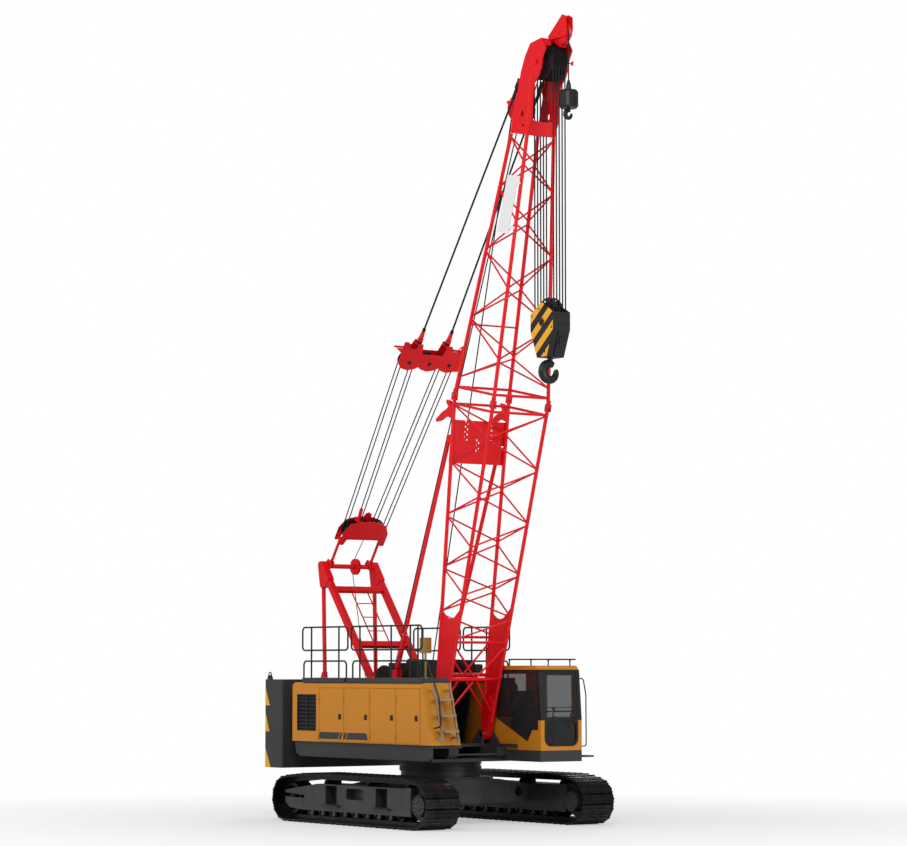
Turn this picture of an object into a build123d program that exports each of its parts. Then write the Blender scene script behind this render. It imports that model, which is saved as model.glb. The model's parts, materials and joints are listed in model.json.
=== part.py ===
from build123d import *
from math import cos, sin, pi, radians, hypot, atan2
import os

# Crawler crane with a 13 m lattice boom.  Millimetres.  +X is forward, +Y is the machine's left,
# +Z is up.  The origin is on the ground under the swing axis.

# ---- undercarriage ----
GAUGE = 3600.0              # between the two track centres
WHEEL_X = 2256.0            # sprocket and idler centres, ahead of and behind the swing axis
TRACK_HEIGHT = 970.0        # over the shoes of the top run
WHEEL_LOOP_RADIUS = 450.0   # over the shoes round sprocket and idler
TOP_RUN_FRONT, TOP_RUN_REAR = 1900.0, 1450.0    # how far the level top run reaches each way
SHOE_COUNT = 60
SHOE_WIDTH = 760.0
SHOE_PLATE = 34.0
GROUSER = 20.0
RAIL_HEIGHT = 82.0          # chain link rails inside the shoes
RAIL_INNER, RAIL_OUTER = 95.0, 160.0
FRAME_TOP = 760.0           # side frames
FRAME_BOTTOM = 245.0
FRAME_HALF_WIDTH = 250.0
FRAME_SKIN = 40.0
ROLLER_RADIUS = 95.0
ROLLER_COUNT = 9
ROLLER_SPACING = 390.0
CARRIER_RADIUS = 60.0
CARRIER_X = (-1060.0, 420.0, 1740.0)
CARBODY_TOP = 1010.0
RING_RADIUS = 800.0
SEAT_GAP = 0.3              # between parts that rest on each other
RUN_GAP = 0.5               # between parts that turn on each other

# ---- upper structure ----
DECK_BOTTOM, DECK_TOP = 1206.0, 1540.0
DECK_HALF_WIDTH = 1340.0
DECK_REAR, DECK_FRONT = -3180.0, 1620.0
HOOD_HALF_WIDTH = 1400.0
HOOD_INNER_Y = 720.0
HOOD_TOP = 2708.0
HOOD_REAR = -3183.0
HOOD_SHEET = 30.0
DOOR_BOTTOM, DOOR_TOP = 1575.0, 2583.0
DOOR_GAP = 8.0
RIGHT_DOOR_EDGES = (-2205.0, -1310.0, -390.0, 510.0, 1340.0)
LEFT_DOOR_EDGES = (-2205.0, -1310.0, -390.0, 510.0)
LEFT_HOOD_FRONT = 640.0
WALKWAY_BOTTOM, WALKWAY_TOP = 2760.0, 2800.0
TAIL_X, WEIGHT_FRONT_X = -4110.0, -3455.0
WEIGHT_HALF_WIDTH = 1485.0
WEIGHT_LEVELS = (992.0, 1719.0, 2235.0, 2765.0)
WEIGHT_BULGE = 170.0        # the rear face is an arc about the swing axis

# ---- cab ----
CAB_RIGHT, CAB_LEFT = 685.0, 1660.0
CAB_REAR, CAB_FRONT = 720.0, 2350.0
CAB_FLOOR, CAB_ROOF = 1428.0, 3040.0
CAB_WALL = 45.0

# ---- boom ----
BOOM_ANGLE = 78.5
BOOM_FOOT_X, BOOM_FOOT_Z = 732.0, 1721.0
BASE_LENGTH, TOP_LENGTH = 6500.0, 5070.0
FOOT_HALF_WIDTH, JOINT_HALF_WIDTH, NOSE_HALF_WIDTH = 566.0, 644.0, 312.0
FOOT_HALF_DEPTH, JOINT_HALF_DEPTH, NOSE_HALF_DEPTH = 120.0, 640.0, 254.0
CHORD_RADIUS, LACE_RADIUS = 36.0, 17.0
REAR_STRUT = 7870.0          # station of the strut across the rear face of the top section
WELD_GAP = 0.3
PIN_RADIUS, PIN_GAP = 45.0, 0.3
HEAD_SHEAVE_AT = (12944.0, -276.0)      # station along the boom, offset to its rear
SHEAVE_RADIUS = 300.0                   # at the rope
HEAD_SHEAVE_COUNT, HEAD_SHEAVE_PITCH = 5, 69.0

# ---- gantry and boom hoist ----
GANTRY_HALF_WIDTH = 620.0
LEAD_SHEAVE_Y = 140.0
GANTRY_TOP = (-3300.0, 5080.0)
GANTRY_FRONT_FOOT = (-1440.0, 2712.0)
GANTRY_REAR_FOOT = (-3200.0, 2712.0)
LOWER_BLOCK_REACH = 915.0   # from the gantry's top pins to the lower block's sheaves
UPPER_BLOCK_REACH = 4940.0
PENDANT_LOW_SPACING, PENDANT_HALF_SPACING = 335.0, 270.0
PENDANT_PIN_AT = (12548.0, 247.0)
PENDANT_PIN_RADIUS = 26.0
BACKSTOP_FOOT = (-640.0, 2900.0)
BACKSTOP_LUG_AT = (5640.0, 704.0)
BACKSTOP_Y = 610.0


# ---------------------------------------------------------------- shape helpers

def box(x, y, z):
    """A block between pairs of limits."""
    size = [high - low for low, high in (x, y, z)]
    centre = [(high + low) / 2 for low, high in (x, y, z)]
    return Pos(*centre) * Box(*size)


def prism(points, plane, low, high, radius=0.0):
    """A closed outline in the xz, yz or xy plane, drawn out between two limits."""
    place = {"xz": lambda a, b: (a, low, b), "yz": lambda a, b: (low, a, b), "xy": lambda a, b: (a, b, low)}[plane]
    along = {"xz": (0, 1, 0), "yz": (1, 0, 0), "xy": (0, 0, 1)}[plane]
    corners = [place(a, b) for a, b in points]
    if radius:
        outline = FilletPolyline(*corners, radius=radius, close=True)
    else:
        outline = Polyline(*corners, close=True)
    return extrude(make_face(outline), amount=high - low, dir=along)


def rod(start, end, radius, bore=0.0):
    """A round bar, or a tube where it has a bore, between two points."""
    start, end = Vector(*start), Vector(*end)
    length = (end - start).length
    axis = Plane(origin=start, z_dir=(end - start))
    solid = axis * Cylinder(radius, length, align=(Align.CENTER, Align.CENTER, Align.MIN))
    if bore:
        solid -= axis * Cylinder(bore, length, align=(Align.CENTER, Align.CENTER, Align.MIN))
    return solid


def disc(x, z, y, radius, bore=0.0):
    """A wheel on an axle across the machine: y holds its two faces."""
    return rod((x, y[0], z), (x, y[1], z), radius, bore)


def sheave(centre, axis, radius, width, bore, groove=28.0, rim=34.0):
    """A rope wheel: its rope runs at the radius, in a groove between two flanges."""
    half = width / 2
    section = [(bore, -half), (radius + rim, -half), (radius + rim, -half + 8), (radius, -groove / 3),
               (radius, groove / 3), (radius + rim, half - 8), (radius + rim, half), (bore, half)]
    web = make_face(Polyline(*[(r, 0, w) for r, w in section], close=True))
    wheel = revolve(web, axis=Axis.Z, revolution_arc=360)
    return Plane(origin=centre, z_dir=axis) * wheel


def bent_tube(points, radius, bend):
    """A round tube along straight runs with equal bends."""
    path = FilletPolyline(*points, radius=bend)
    start = Plane(origin=path @ 0, z_dir=path % 0)
    return sweep(start * Circle(radius), path=path)


def both_sides(solids):
    """The given solids and their mirror images across the machine's middle."""
    return list(solids) + [solid.mirror(Plane.XZ) for solid in solids]


# ---------------------------------------------------------------- undercarriage

def end_arc(flat_end):
    """Corner points round one end wheel, up to where the loop leaves it for the top run."""
    radius = WHEEL_LOOP_RADIUS - SHOE_PLATE - GROUSER
    top = TRACK_HEIGHT - SHOE_PLATE - GROUSER
    reach, rise = WHEEL_X - flat_end, top - WHEEL_LOOP_RADIUS
    tangent = (reach ** 2 + rise ** 2 - radius ** 2) ** 0.5
    leave = atan2(rise, -reach) - atan2(tangent, radius)
    turns = [-pi / 2 + (leave + pi / 2) * step / 160 for step in range(161)]
    arc = [(WHEEL_X + radius * cos(turn), WHEEL_LOOP_RADIUS + radius * sin(turn)) for turn in turns]
    return arc + [(flat_end, top)]


def loop_stations():
    """Corners of the shoe loop's inner plane, one at each joint between shoes."""
    front, rear = end_arc(TOP_RUN_FRONT), end_arc(TOP_RUN_REAR)
    outline = front + [(-x, z) for x, z in reversed(rear)]
    outline.append(outline[0])
    lengths = [hypot(b[0] - a[0], b[1] - a[1]) for a, b in zip(outline, outline[1:])]
    total, stations = sum(lengths), []
    for shoe in range(SHOE_COUNT):
        left = total * shoe / SHOE_COUNT
        for (a, b), length in zip(zip(outline, outline[1:]), lengths):
            if left <= length:
                stations.append((a[0] + (b[0] - a[0]) * left / length, a[1] + (b[1] - a[1]) * left / length))
                break
            left -= length
    return stations


def wheel_tread():
    """Radius on which the link rails run, inside the flats between their joints."""
    stations = loop_stations()
    pitch = hypot(stations[1][0] - stations[0][0], stations[1][1] - stations[0][1])
    radius = WHEEL_LOOP_RADIUS - SHOE_PLATE - GROUSER
    return (radius - RAIL_HEIGHT) * (1 - (pitch / 2 / radius) ** 2) ** 0.5 - SEAT_GAP


def shoe_outline(stations):
    """The loop's outer edge: flat shoes with a gap between them and one raised rib each."""
    outline = []
    for (ax, az), (bx, bz) in zip(stations, stations[1:] + stations[:1]):
        length = hypot(bx - ax, bz - az)
        tx, tz = (bx - ax) / length, (bz - az) / length
        nx, nz = tz, -tx
        # share of the shoe's length, height above the loop plane
        for share, height in ((0.0, 6.0), (0.07, SHOE_PLATE), (0.34, SHOE_PLATE), (0.40, SHOE_PLATE + GROUSER),
                              (0.60, SHOE_PLATE + GROUSER), (0.66, SHOE_PLATE), (0.93, SHOE_PLATE)):
            outline.append((ax + tx * length * share + nx * height, az + tz * length * share + nz * height))
    return outline


def inset_outline(stations, depth):
    """The loop plane moved inward by a depth, one corner a shoe."""
    outline = []
    count = len(stations)
    for index, (x, z) in enumerate(stations):
        (ax, az), (bx, bz) = stations[index - 1], stations[(index + 1) % count]
        length = hypot(bx - ax, bz - az)
        outline.append((x - (bz - az) / length * depth, z + (bx - ax) / length * depth))
    return outline


def track(side):
    """One closed loop: sixty shoes and the two rails of the link chain that carries them."""
    stations = loop_stations()
    centre = side * GAUGE / 2
    half = SHOE_WIDTH / 2
    loop = prism(shoe_outline(stations), "xz", centre - half, centre + half)
    loop -= prism(stations, "xz", centre - half - 1, centre + half + 1)
    ring_out, ring_in = inset_outline(stations, -1.0), inset_outline(stations, RAIL_HEIGHT)
    for inner, outer in ((RAIL_INNER, RAIL_OUTER), (-RAIL_OUTER, -RAIL_INNER)):
        rail = prism(ring_out, "xz", centre + inner, centre + outer)
        rail -= prism(ring_in, "xz", centre + inner - 1, centre + outer + 1)
        loop += rail
    return loop


def side_frame(side):
    """A box girder with forked ends, service pockets, foot ledges and roller guards."""
    centre = GAUGE / 2
    core_bottom = FRAME_BOTTOM + 112.0
    inner, outer = centre - FRAME_HALF_WIDTH, centre + FRAME_HALF_WIDTH
    front = WHEEL_X - 226.0
    body = [(front, core_bottom), (front, FRAME_TOP), (-1180, FRAME_TOP), (-2330, 610), (-2330, 380),
            (-2200, core_bottom)]
    skin = [(front, FRAME_BOTTOM), (front, FRAME_TOP + 20), (1700, FRAME_TOP), (-1180, FRAME_TOP), (-2330, 610),
            (-2330, 380), (-2180, FRAME_BOTTOM + 30), (-1750, FRAME_BOTTOM)]
    frame = prism(body, "xz", inner, outer)
    for low, high in ((inner - FRAME_SKIN, inner), (outer, outer + FRAME_SKIN)):
        frame += prism(skin, "xz", low, high)
        for gap in range(ROLLER_COUNT - 1):
            x = (gap - (ROLLER_COUNT - 2) / 2) * ROLLER_SPACING
            frame += box((x - 45, x + 45), (low, high), (FRAME_BOTTOM - 75, FRAME_BOTTOM))
    # room for idler and sprocket between the fork arms
    frame -= box((-2500, -1850), (centre - 185, centre + 185), (0, 1000))
    frame -= box((1850, 2500), (centre - 185, centre + 185), (0, 1000))
    # the tensioner's slot in each rear arm
    frame -= prism([(-2340, 560), (-1640, 525), (-1640, 470), (-2340, 480)], "xz", inner - 60, outer + 60)
    for x in CARRIER_X:
        frame -= box((x - 90, x + 90), (centre - 185, centre + 185), (690, 800))
    for low, high in ((-880, -480), (860, 1250)):
        frame -= box((low, high), (outer - 170, outer + 60), (380, 735))
        ledge = [(outer + FRAME_SKIN, 380), (outer + 100, 345), (outer + 100, 330), (outer + FRAME_SKIN, 330)]
        frame += prism(ledge, "yz", low - 90, high + 90)
    frame -= prism([(-150, 490), (450, 490), (450, 700), (-150, 700)], "xz", outer - 120, outer + 60, 50)
    # the final drive's flange passes the outer front end
    frame -= disc(WHEEL_X, WHEEL_LOOP_RADIUS, (inner - 60, outer + 60), 208)
    return frame if side > 0 else frame.mirror(Plane.XZ)


def drive_sprocket(side):
    """The toothed wheel, its final drive outside and the travel motor inside."""
    centre = GAUGE / 2
    tread = wheel_tread()
    x, z, tooth_tip = WHEEL_X, WHEEL_LOOP_RADIUS, WHEEL_LOOP_RADIUS - SHOE_PLATE - GROUSER - 30.0
    # a little under the tread, for the flat where the top run leaves the wheel
    wheel = disc(x, z, (centre - RAIL_OUTER, centre + RAIL_OUTER), tread - 0.8)
    teeth = []
    for tooth in range(13):
        angle = 2 * pi * tooth / 13
        for turn, reach in ((-0.13, tread - 20), (-0.06, tooth_tip), (0.06, tooth_tip), (0.13, tread - 20)):
            teeth.append((x + reach * cos(angle + turn), z + reach * sin(angle + turn)))
    wheel += prism(teeth, "xz", centre - 42, centre + 42)
    wheel += disc(x, z, (centre + RAIL_OUTER, centre + FRAME_HALF_WIDTH + 30), 200)
    wheel += disc(x, z, (centre - 330, centre - RAIL_OUTER), 190)
    return wheel if side > 0 else wheel.mirror(Plane.XZ)


def idler_wheel(side):
    """The plain front-running wheel with a guide flange, on an axle held by the fork arms."""
    centre = GAUGE / 2
    tread = wheel_tread()
    x, z = -WHEEL_X, WHEEL_LOOP_RADIUS
    wheel = disc(x, z, (centre - 170, centre + 170), tread)
    wheel -= disc(x, z, (centre - 171, centre - 90), tread - 60, 110)
    wheel -= disc(x, z, (centre + 90, centre + 171), tread - 60, 110)
    wheel += disc(x, z, (centre - 80, centre + 80), tread + 45)
    wheel += disc(x, z, (centre - 185, centre + 185), 70)
    return wheel if side > 0 else wheel.mirror(Plane.XZ)


def track_rollers(side):
    """Nine lower rollers under the frame and three carrier rollers in its top."""
    centre = GAUGE / 2
    rail_top = SHOE_PLATE + GROUSER + RAIL_HEIGHT
    rollers = []
    for index in range(ROLLER_COUNT):
        x = (index - (ROLLER_COUNT - 1) / 2) * ROLLER_SPACING
        z = rail_top + SEAT_GAP + ROLLER_RADIUS
        roller = disc(x, z, (centre - 175, centre + 175), ROLLER_RADIUS)
        roller += disc(x, z, (centre - 85, centre + 85), ROLLER_RADIUS + 22)
        roller -= disc(x, z, (centre - 60, centre + 60), ROLLER_RADIUS + 30, ROLLER_RADIUS - 15)
        roller += disc(x, z, (centre - FRAME_HALF_WIDTH + SEAT_GAP, centre + FRAME_HALF_WIDTH - SEAT_GAP), 32)
        rollers.append(roller)
    carrier_z = TRACK_HEIGHT - SHOE_PLATE - GROUSER - RAIL_HEIGHT - SEAT_GAP - CARRIER_RADIUS
    for x in CARRIER_X:
        carrier = disc(x, carrier_z, (centre - 165, centre + 165), CARRIER_RADIUS)
        carrier += disc(x, carrier_z, (centre - 185 + SEAT_GAP, centre + 185 - SEAT_GAP), 28)
        rollers.append(carrier)
    return rollers if side > 0 else [roller.mirror(Plane.XZ) for roller in rollers]


def carbody():
    """The H-shaped lower frame: two axle beams, a centre box and the ring seat."""
    reach = GAUGE / 2 - FRAME_HALF_WIDTH - FRAME_SKIN - SEAT_GAP
    frame = prism([(-900, -520), (-560, -860), (560, -860), (900, -520), (900, 520), (560, 860), (-560, 860),
                   (-900, 520)], "xy", 420, 900)
    for x in (-760.0, 760.0):
        beam = [(-reach, 430), (-reach, 740), (-700, 860), (700, 860), (reach, 740), (reach, 430), (900, 400),
                (-900, 400)]
        frame += prism(beam, "yz", x - 215, x + 215)
        for end in (-reach, reach):
            flange = (end, end + 40) if end < 0 else (end - 40, end)
            frame += box((x - 270, x + 270), flange, (400, 750))
    frame += Pos(0, 0, (900 + CARBODY_TOP) / 2) * Cylinder(RING_RADIUS - 30, CARBODY_TOP - 900)
    # a torsion box hides nothing: two weight-saving openings run through each axle beam
    for x in (-760.0, 760.0):
        for y in (-1180.0, 1180.0):
            frame -= rod((x - 300, y, 610), (x + 300, y, 610), 95)
    return frame


def slewing_ring():
    """The outer ring of the swing bearing, bolted under the upper frame."""
    low, high = CARBODY_TOP + RUN_GAP, DECK_BOTTOM
    ring = rod((0, 0, low), (0, 0, high), RING_RADIUS, 610)
    ring -= rod((0, 0, low + 90), (0, 0, low + 130), RING_RADIUS + 1, RING_RADIUS - 18)
    return ring


# ---------------------------------------------------------------- upper structure

def upper_frame():
    """The rotating bed: deck, sills, two main girders and the boom foot brackets."""
    deck = box((DECK_REAR, DECK_FRONT), (-DECK_HALF_WIDTH, DECK_HALF_WIDTH), (DECK_TOP - 60, DECK_TOP))
    deck += box((-1150, 1150), (-1000, 1000), (DECK_BOTTOM, DECK_BOTTOM + 60))
    for side in (-1, 1):
        sill = [(DECK_REAR + 60, 1300), (DECK_REAR + 200, 1240), (1500, 1240), (DECK_FRONT, 1300),
                (DECK_FRONT, DECK_TOP - 60), (DECK_REAR, DECK_TOP - 60)]
        faces = sorted((side * (DECK_HALF_WIDTH - 40), side * DECK_HALF_WIDTH))
        deck += prism(sill, "xz", *faces)
        girder = sorted((side * 455, side * 675))
        deck += prism([(WEIGHT_FRONT_X + SEAT_GAP, 1230), (WEIGHT_FRONT_X + SEAT_GAP, DECK_TOP - 60),
                       (1250, DECK_TOP - 60), (1250, 1330), (1000, DECK_BOTTOM), (-2900, DECK_BOTTOM)], "xz", *girder)
        for low, high in ((455, 500), (632, 675)):
            ear = [(BOOM_FOOT_X - 330, DECK_TOP), (BOOM_FOOT_X - 90, BOOM_FOOT_Z + 90),
                   (BOOM_FOOT_X + 90, BOOM_FOOT_Z + 90), (BOOM_FOOT_X + 330, DECK_TOP)]
            deck += prism(ear, "xz", *sorted((side * low, side * high)))
        deck -= disc(BOOM_FOOT_X, BOOM_FOOT_Z, sorted((side * 400, side * 700)), PIN_RADIUS + PIN_GAP)
    # the cab's platform takes the left front corner
    deck -= box((CAB_REAR - 30 - SEAT_GAP, 1700), (675, 1400), (DECK_BOTTOM + 1, DECK_TOP + 1))
    # the boom swings down between the girders' front ends
    deck -= box((BOOM_FOOT_X + 20, 1700), (-632, 632), (DECK_TOP - 61, DECK_TOP + 400))
    deck += box((1150, 1250), (-675, 675), (1330, DECK_TOP - 180))
    deck += box((-3000, -2900), (-DECK_HALF_WIDTH, DECK_HALF_WIDTH), (1290, DECK_TOP - 60))
    return deck


def boom_foot_pins():
    """Two pins that carry the boom in the deck's brackets."""
    return [disc(BOOM_FOOT_X, BOOM_FOOT_Z, sorted((side * 446, side * 684)), PIN_RADIUS) for side in (-1, 1)]


def counterweight(level):
    """One cast slab of the stack; the rear face follows the tail's swing."""
    low, high = WEIGHT_LEVELS[level] + (SEAT_GAP if level else 0.0), WEIGHT_LEVELS[level + 1]
    half = WEIGHT_HALF_WIDTH
    rear = ThreePointArc((TAIL_X, -half, low), (TAIL_X - WEIGHT_BULGE, 0, low), (TAIL_X, half, low))
    rest = Polyline((TAIL_X, half, low), (WEIGHT_FRONT_X, half, low), (WEIGHT_FRONT_X, -half, low),
                    (TAIL_X, -half, low))
    slab = extrude(make_face([rear, rest]), amount=high - low, dir=(0, 0, 1))
    slab = chamfer(slab.edges().filter_by(Axis.Z), 28)
    if level == 2:
        for side in (-1, 1):
            thick = sorted((side * 1398, side * 1442))
            eye = prism([(-4088, high - 1), (-3932, high - 1), (-3932, high + 20), (-3975, high + 88),
                         (-4045, high + 88), (-4088, high + 20)], "xz", *thick)
            slab += eye - disc(-4010, high + 46, (thick[0] - 5, thick[1] + 5), 26)
    return slab


def hood_sheets(inner, outer, front_low, front_high, door_edges):
    """One engine hood as bent sheet: roof, ends, inner wall and the posts between its doors."""
    low, high, sheet = DECK_TOP + SEAT_GAP, HOOD_TOP, HOOD_SHEET
    side_view = [(HOOD_REAR, low), (front_low, low), (front_high, high), (HOOD_REAR, high)]
    shell = prism(side_view, "xz", inner, outer)
    long_edges = shell.edges().filter_by(Axis.X).group_by(Axis.Z)[-1].sort_by(Axis.Y)
    shell = fillet(long_edges[-1], 90)
    hollow = [(HOOD_REAR + sheet, low - 1), (front_low - sheet, low - 1), (front_high - sheet, high - sheet),
              (HOOD_REAR + sheet, high - sheet)]
    shell -= prism(hollow, "xz", inner + sheet, outer - sheet)
    for start, end in zip(door_edges, door_edges[1:]):
        shell -= box((start + 25, end - 25), (outer - 60, outer + 1), (DOOR_BOTTOM, DOOR_TOP))
        shell -= box((start, end), (outer - sheet / 2 - 6, outer + 1), (DOOR_BOTTOM - 24, DOOR_TOP + 24))
    for start in door_edges[:-1]:
        shell += box((start - 14, start + DOOR_GAP / 2), (outer - sheet, outer), (DOOR_BOTTOM - 24, DOOR_TOP + 24))
        shell += hinge_knuckles(start + DOOR_GAP / 2, outer, HOOD_HINGE_Z, -16)
    return shell


def hood_right():
    """The right hood with its louvred air intake behind the last door."""
    shell = hood_sheets(HOOD_INNER_Y, HOOD_HALF_WIDTH, 1700.0, 1370.0, RIGHT_DOOR_EDGES)
    shell -= box((-3017, -2305), (HOOD_HALF_WIDTH - 60, HOOD_HALF_WIDTH + 1), (1748, 2474))
    return shell.mirror(Plane.XZ)


def hood_left():
    """The left hood, which ends behind the cab."""
    shell = hood_sheets(HOOD_INNER_Y, HOOD_HALF_WIDTH, LEFT_HOOD_FRONT, LEFT_HOOD_FRONT, LEFT_DOOR_EDGES)
    shell -= box((-3017, -2305), (HOOD_HALF_WIDTH - 60, HOOD_HALF_WIDTH + 1), (1748, 2474))
    return shell


def louvres(side):
    """Nine sloped slats and a centre post in the hood's air intake."""
    outer = HOOD_HALF_WIDTH
    frame = box((-3016.7, -2305.3), (outer - 40, outer - 4), (1748.3, 2473.7)) - box((-2990, -2332), (outer - 60, outer),
                                                                            (1775, 2447))
    frame += box((-2680, -2642), (outer - 38, outer - 8), (1750, 2472))
    pitch = (2447.0 - 1775.0) / 9
    for slat in range(9):
        z = 1775 + pitch * (slat + 0.5)
        blade = [(outer - 38, z + 30), (outer - 32, z + 36), (outer - 6, z - 18), (outer - 12, z - 24)]
        frame += prism(blade, "yz", -2991, -2331)
    return frame if side > 0 else frame.mirror(Plane.XZ)


HINGE_RADIUS, HINGE_LENGTH = 11.0, 90.0
HOOD_HINGE_Z = (1700.0, 2400.0)
CAB_HINGE_Z = (1640.0, 2220.0, 2760.0)


def hinge_knuckles(x, face_y, heights, leaf):
    """Half of each hinge on a door's edge: a barrel on its leaf, which reaches to the given side in x."""
    knuckles = None
    low_half = leaf < 0
    for z in heights:
        low, high = (z - HINGE_LENGTH, z - RUN_GAP / 2) if low_half else (z + RUN_GAP / 2, z + HINGE_LENGTH)
        barrel = rod((x, face_y + HINGE_RADIUS, low), (x, face_y + HINGE_RADIUS, high), HINGE_RADIUS)
        barrel += box(sorted((x, x + leaf)), (face_y - 0.5, face_y + 7), (low, high))
        knuckles = barrel if knuckles is None else knuckles + barrel
    return knuckles


def hood_door(index, side):
    """One side door: a folded panel with a stiff rim and a flush latch."""
    edges = RIGHT_DOOR_EDGES if side < 0 else LEFT_DOOR_EDGES
    start, end = edges[index] + 2 * DOOR_GAP, edges[index + 1] - 14 - DOOR_GAP
    outer, back = HOOD_HALF_WIDTH, HOOD_HALF_WIDTH - HOOD_SHEET / 2
    door = box((start, end), (back, outer), (DOOR_BOTTOM - 16, DOOR_TOP + 16))
    door += box((start + 40, end - 40), (back - 24, back), (DOOR_BOTTOM + 14, DOOR_TOP - 14))
    door -= box((start + 70, end - 70), (back - 25, back), (DOOR_BOTTOM + 44, DOOR_TOP - 44))
    latch_x, latch_z = end - 120, 2040.0
    door -= box((latch_x - 55, latch_x + 55), (outer - 9, outer + 1), (latch_z - 55, latch_z + 55))
    door += box((latch_x - 40, latch_x + 30), (outer - 9, outer + 3), (latch_z - 16, latch_z + 16))
    door += hinge_knuckles(edges[index] + DOOR_GAP / 2, outer, HOOD_HINGE_Z, 40)
    return door if side > 0 else door.mirror(Plane.XZ)


def engine_block():
    """The diesel engine as one block, under the right hood."""
    return box((-2850, -1350), (-1290, -790), (DECK_TOP + SEAT_GAP, 2380))


def walkways():
    """Tread plates over both hoods, as low folded pans."""
    plates = []
    # rear end, front end, inner edge, outer edge, side
    for rear, front, inner, outer, side in ((-2870, -1345, 740, 1372, -1), (-1260, 1340, 740, 1372, -1),
                                            (-2870, -1345, 740, 1372, 1), (-1260, 600, 740, 1372, 1)):
        across = sorted((side * inner, side * outer))
        plate = box((rear, front), across, (HOOD_TOP + SEAT_GAP, WALKWAY_TOP))
        plate -= box((rear + 12, front - 12), (across[0] + 12, across[1] - 12), (HOOD_TOP, WALKWAY_BOTTOM))
        plates.append(plate)
    return plates


def rail_panel(rear, front, posts, side):
    """One railing panel: an upper ring, a lower hoop and its posts, in bent tube."""
    y, tube, bend = side * 1350.0, 17.0, 85.0
    foot = WALKWAY_TOP + SEAT_GAP
    hoop = bent_tube([(rear + 50, y, foot), (rear + 50, y, 3130), (front - 50, y, 3130), (front - 50, y, foot)],
                     tube, bend)
    low, high = 3345.0, 3802.0
    middle = (rear + front) / 2
    ring = bent_tube([(middle, y, high), (rear, y, high), (rear, y, low), (middle, y, low)], tube, bend)
    ring += bent_tube([(middle, y, low), (front, y, low), (front, y, high), (middle, y, high)], tube, bend)
    panel = hoop + ring
    for x in posts:
        panel += rod((x, y, foot), (x, y, high), tube)
    return panel


def handrail(side):
    """The railing along the outer edge of one walkway."""
    # rear end, front end, post places
    right = ((-2890, -1238, (-2560, -1560)), (-1110, 1321, (-809, -260, 280, 932, 1187)))
    left = ((-2890, -1238, (-2560, -1560)), (-1127, 438, (-840, -336, 230)))
    return [rail_panel(rear, front, posts, side) for rear, front, posts in (right if side < 0 else left)]


def access_ladder():
    """Three tread steps between two stringers, on the sloped front of the right hood."""
    lean = (1700.0 - 1370.0) / (HOOD_TOP - DECK_TOP)

    def face_x(z):
        return 1700.0 - lean * (z - DECK_TOP)

    ladder = None
    for y in (-1235.0, -885.0):
        foot, head = 1600.0, 2700.0
        stringer = prism([(face_x(foot) + 150, foot), (face_x(foot) + 200, foot), (face_x(head) + 200, head),
                          (face_x(head) + 150, head)], "xz", y - 8, y + 8)
        ladder = stringer if ladder is None else ladder + stringer
        for z in (1680.0, 2560.0):
            ladder += box((face_x(z - 20) + SEAT_GAP, face_x(z) + 175), (y - 8, y + 8), (z - 20, z + 20))
    for z in (1822.0, 2114.0, 2414.0):
        ladder += box((face_x(z) + 60, face_x(z) + 260), (-1227, -893), (z - 16, z))
    return ladder


def ladder_handrail():
    """The bent grab tube beside the ladder, from the walkway down to the hood's front."""
    points = [(1300, -1290, WALKWAY_TOP + SEAT_GAP), (1300, -1290, 3300), (1500, -1290, 2960),
              (1800, -1290, 2420), (1860, -1290, 1900), (1660, -1290, 1860)]
    return bent_tube(points, 16, 60)


def work_lamp():
    """A square lamp facing forward, on a post at the inner edge of the right walkway."""
    x, y, low, high = 660.0, -812.0, 3278.0, 3576.0
    lamp = box((x - 40, x + 40), (y - 112, y + 112), (low, high))
    lamp = fillet(lamp.edges().filter_by(Axis.X), 20)
    post = rod((x, y, WALKWAY_TOP + SEAT_GAP), (x, y, low - SEAT_GAP), 22)
    post += box((x - 60, x + 60), (y - 45, y + 45), (WALKWAY_TOP + SEAT_GAP, WALKWAY_TOP + 14))
    return [lamp, post]


def winch(x, z, drum_radius, flange_radius, half_width, side_name):
    """One rope drum with end flanges and its wound rope, or the two bearing stands that carry it."""
    if side_name == "drum":
        drum = disc(x, z, (-half_width, half_width), drum_radius)
        for end in (-half_width, half_width):
            faces = sorted((end, end + (26 if end > 0 else -26)))
            drum += disc(x, z, faces, flange_radius)
        for ridge in range(int(2 * half_width / 52)):
            y = -half_width + 26 + 52 * ridge
            drum += disc(x, z, (y - 10, y + 10), drum_radius + 9)
        drum += disc(x, z, (-half_width - 60, half_width + 60), 42)
        return drum
    stands = []
    outline = [(x - 260, DECK_TOP + SEAT_GAP), (x + 260, DECK_TOP + SEAT_GAP), (x + 95, z + 95), (x - 95, z + 95)]
    if half_width > MAIN_DRUM_HALF_WIDTH - 1:
        # the main drum stands between full guard plates
        outline = outline[:2] + [(x + 640, z + 260), (x + 640, z + 400), (x + 590, z + 447), (x - 400, z + 475),
                                 (x - 460, z + 420), (x - 460, z + 100)]
    for end in (-1, 1):
        faces = sorted((end * (half_width + 36), end * (half_width + 76)))
        stand = prism(outline, "xz", *faces)
        stand -= disc(x, z, (faces[0] - 1, faces[1] + 1), 42 + RUN_GAP)
        stands.append(stand)
    return stands


MAIN_DRUM_HALF_WIDTH = 360.0
# name, x, z, drum radius, flange radius, half width
WINCHES = (("main_hoist_drum", -90.0, 2700.0, 270.0, 400.0, MAIN_DRUM_HALF_WIDTH),
           ("auxiliary_hoist_drum", -1490.0, 2680.0, 225.0, 370.0, 300.0),
           ("boom_hoist_drum", -2480.0, 2420.0, 200.0, 310.0, 280.0))


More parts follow.
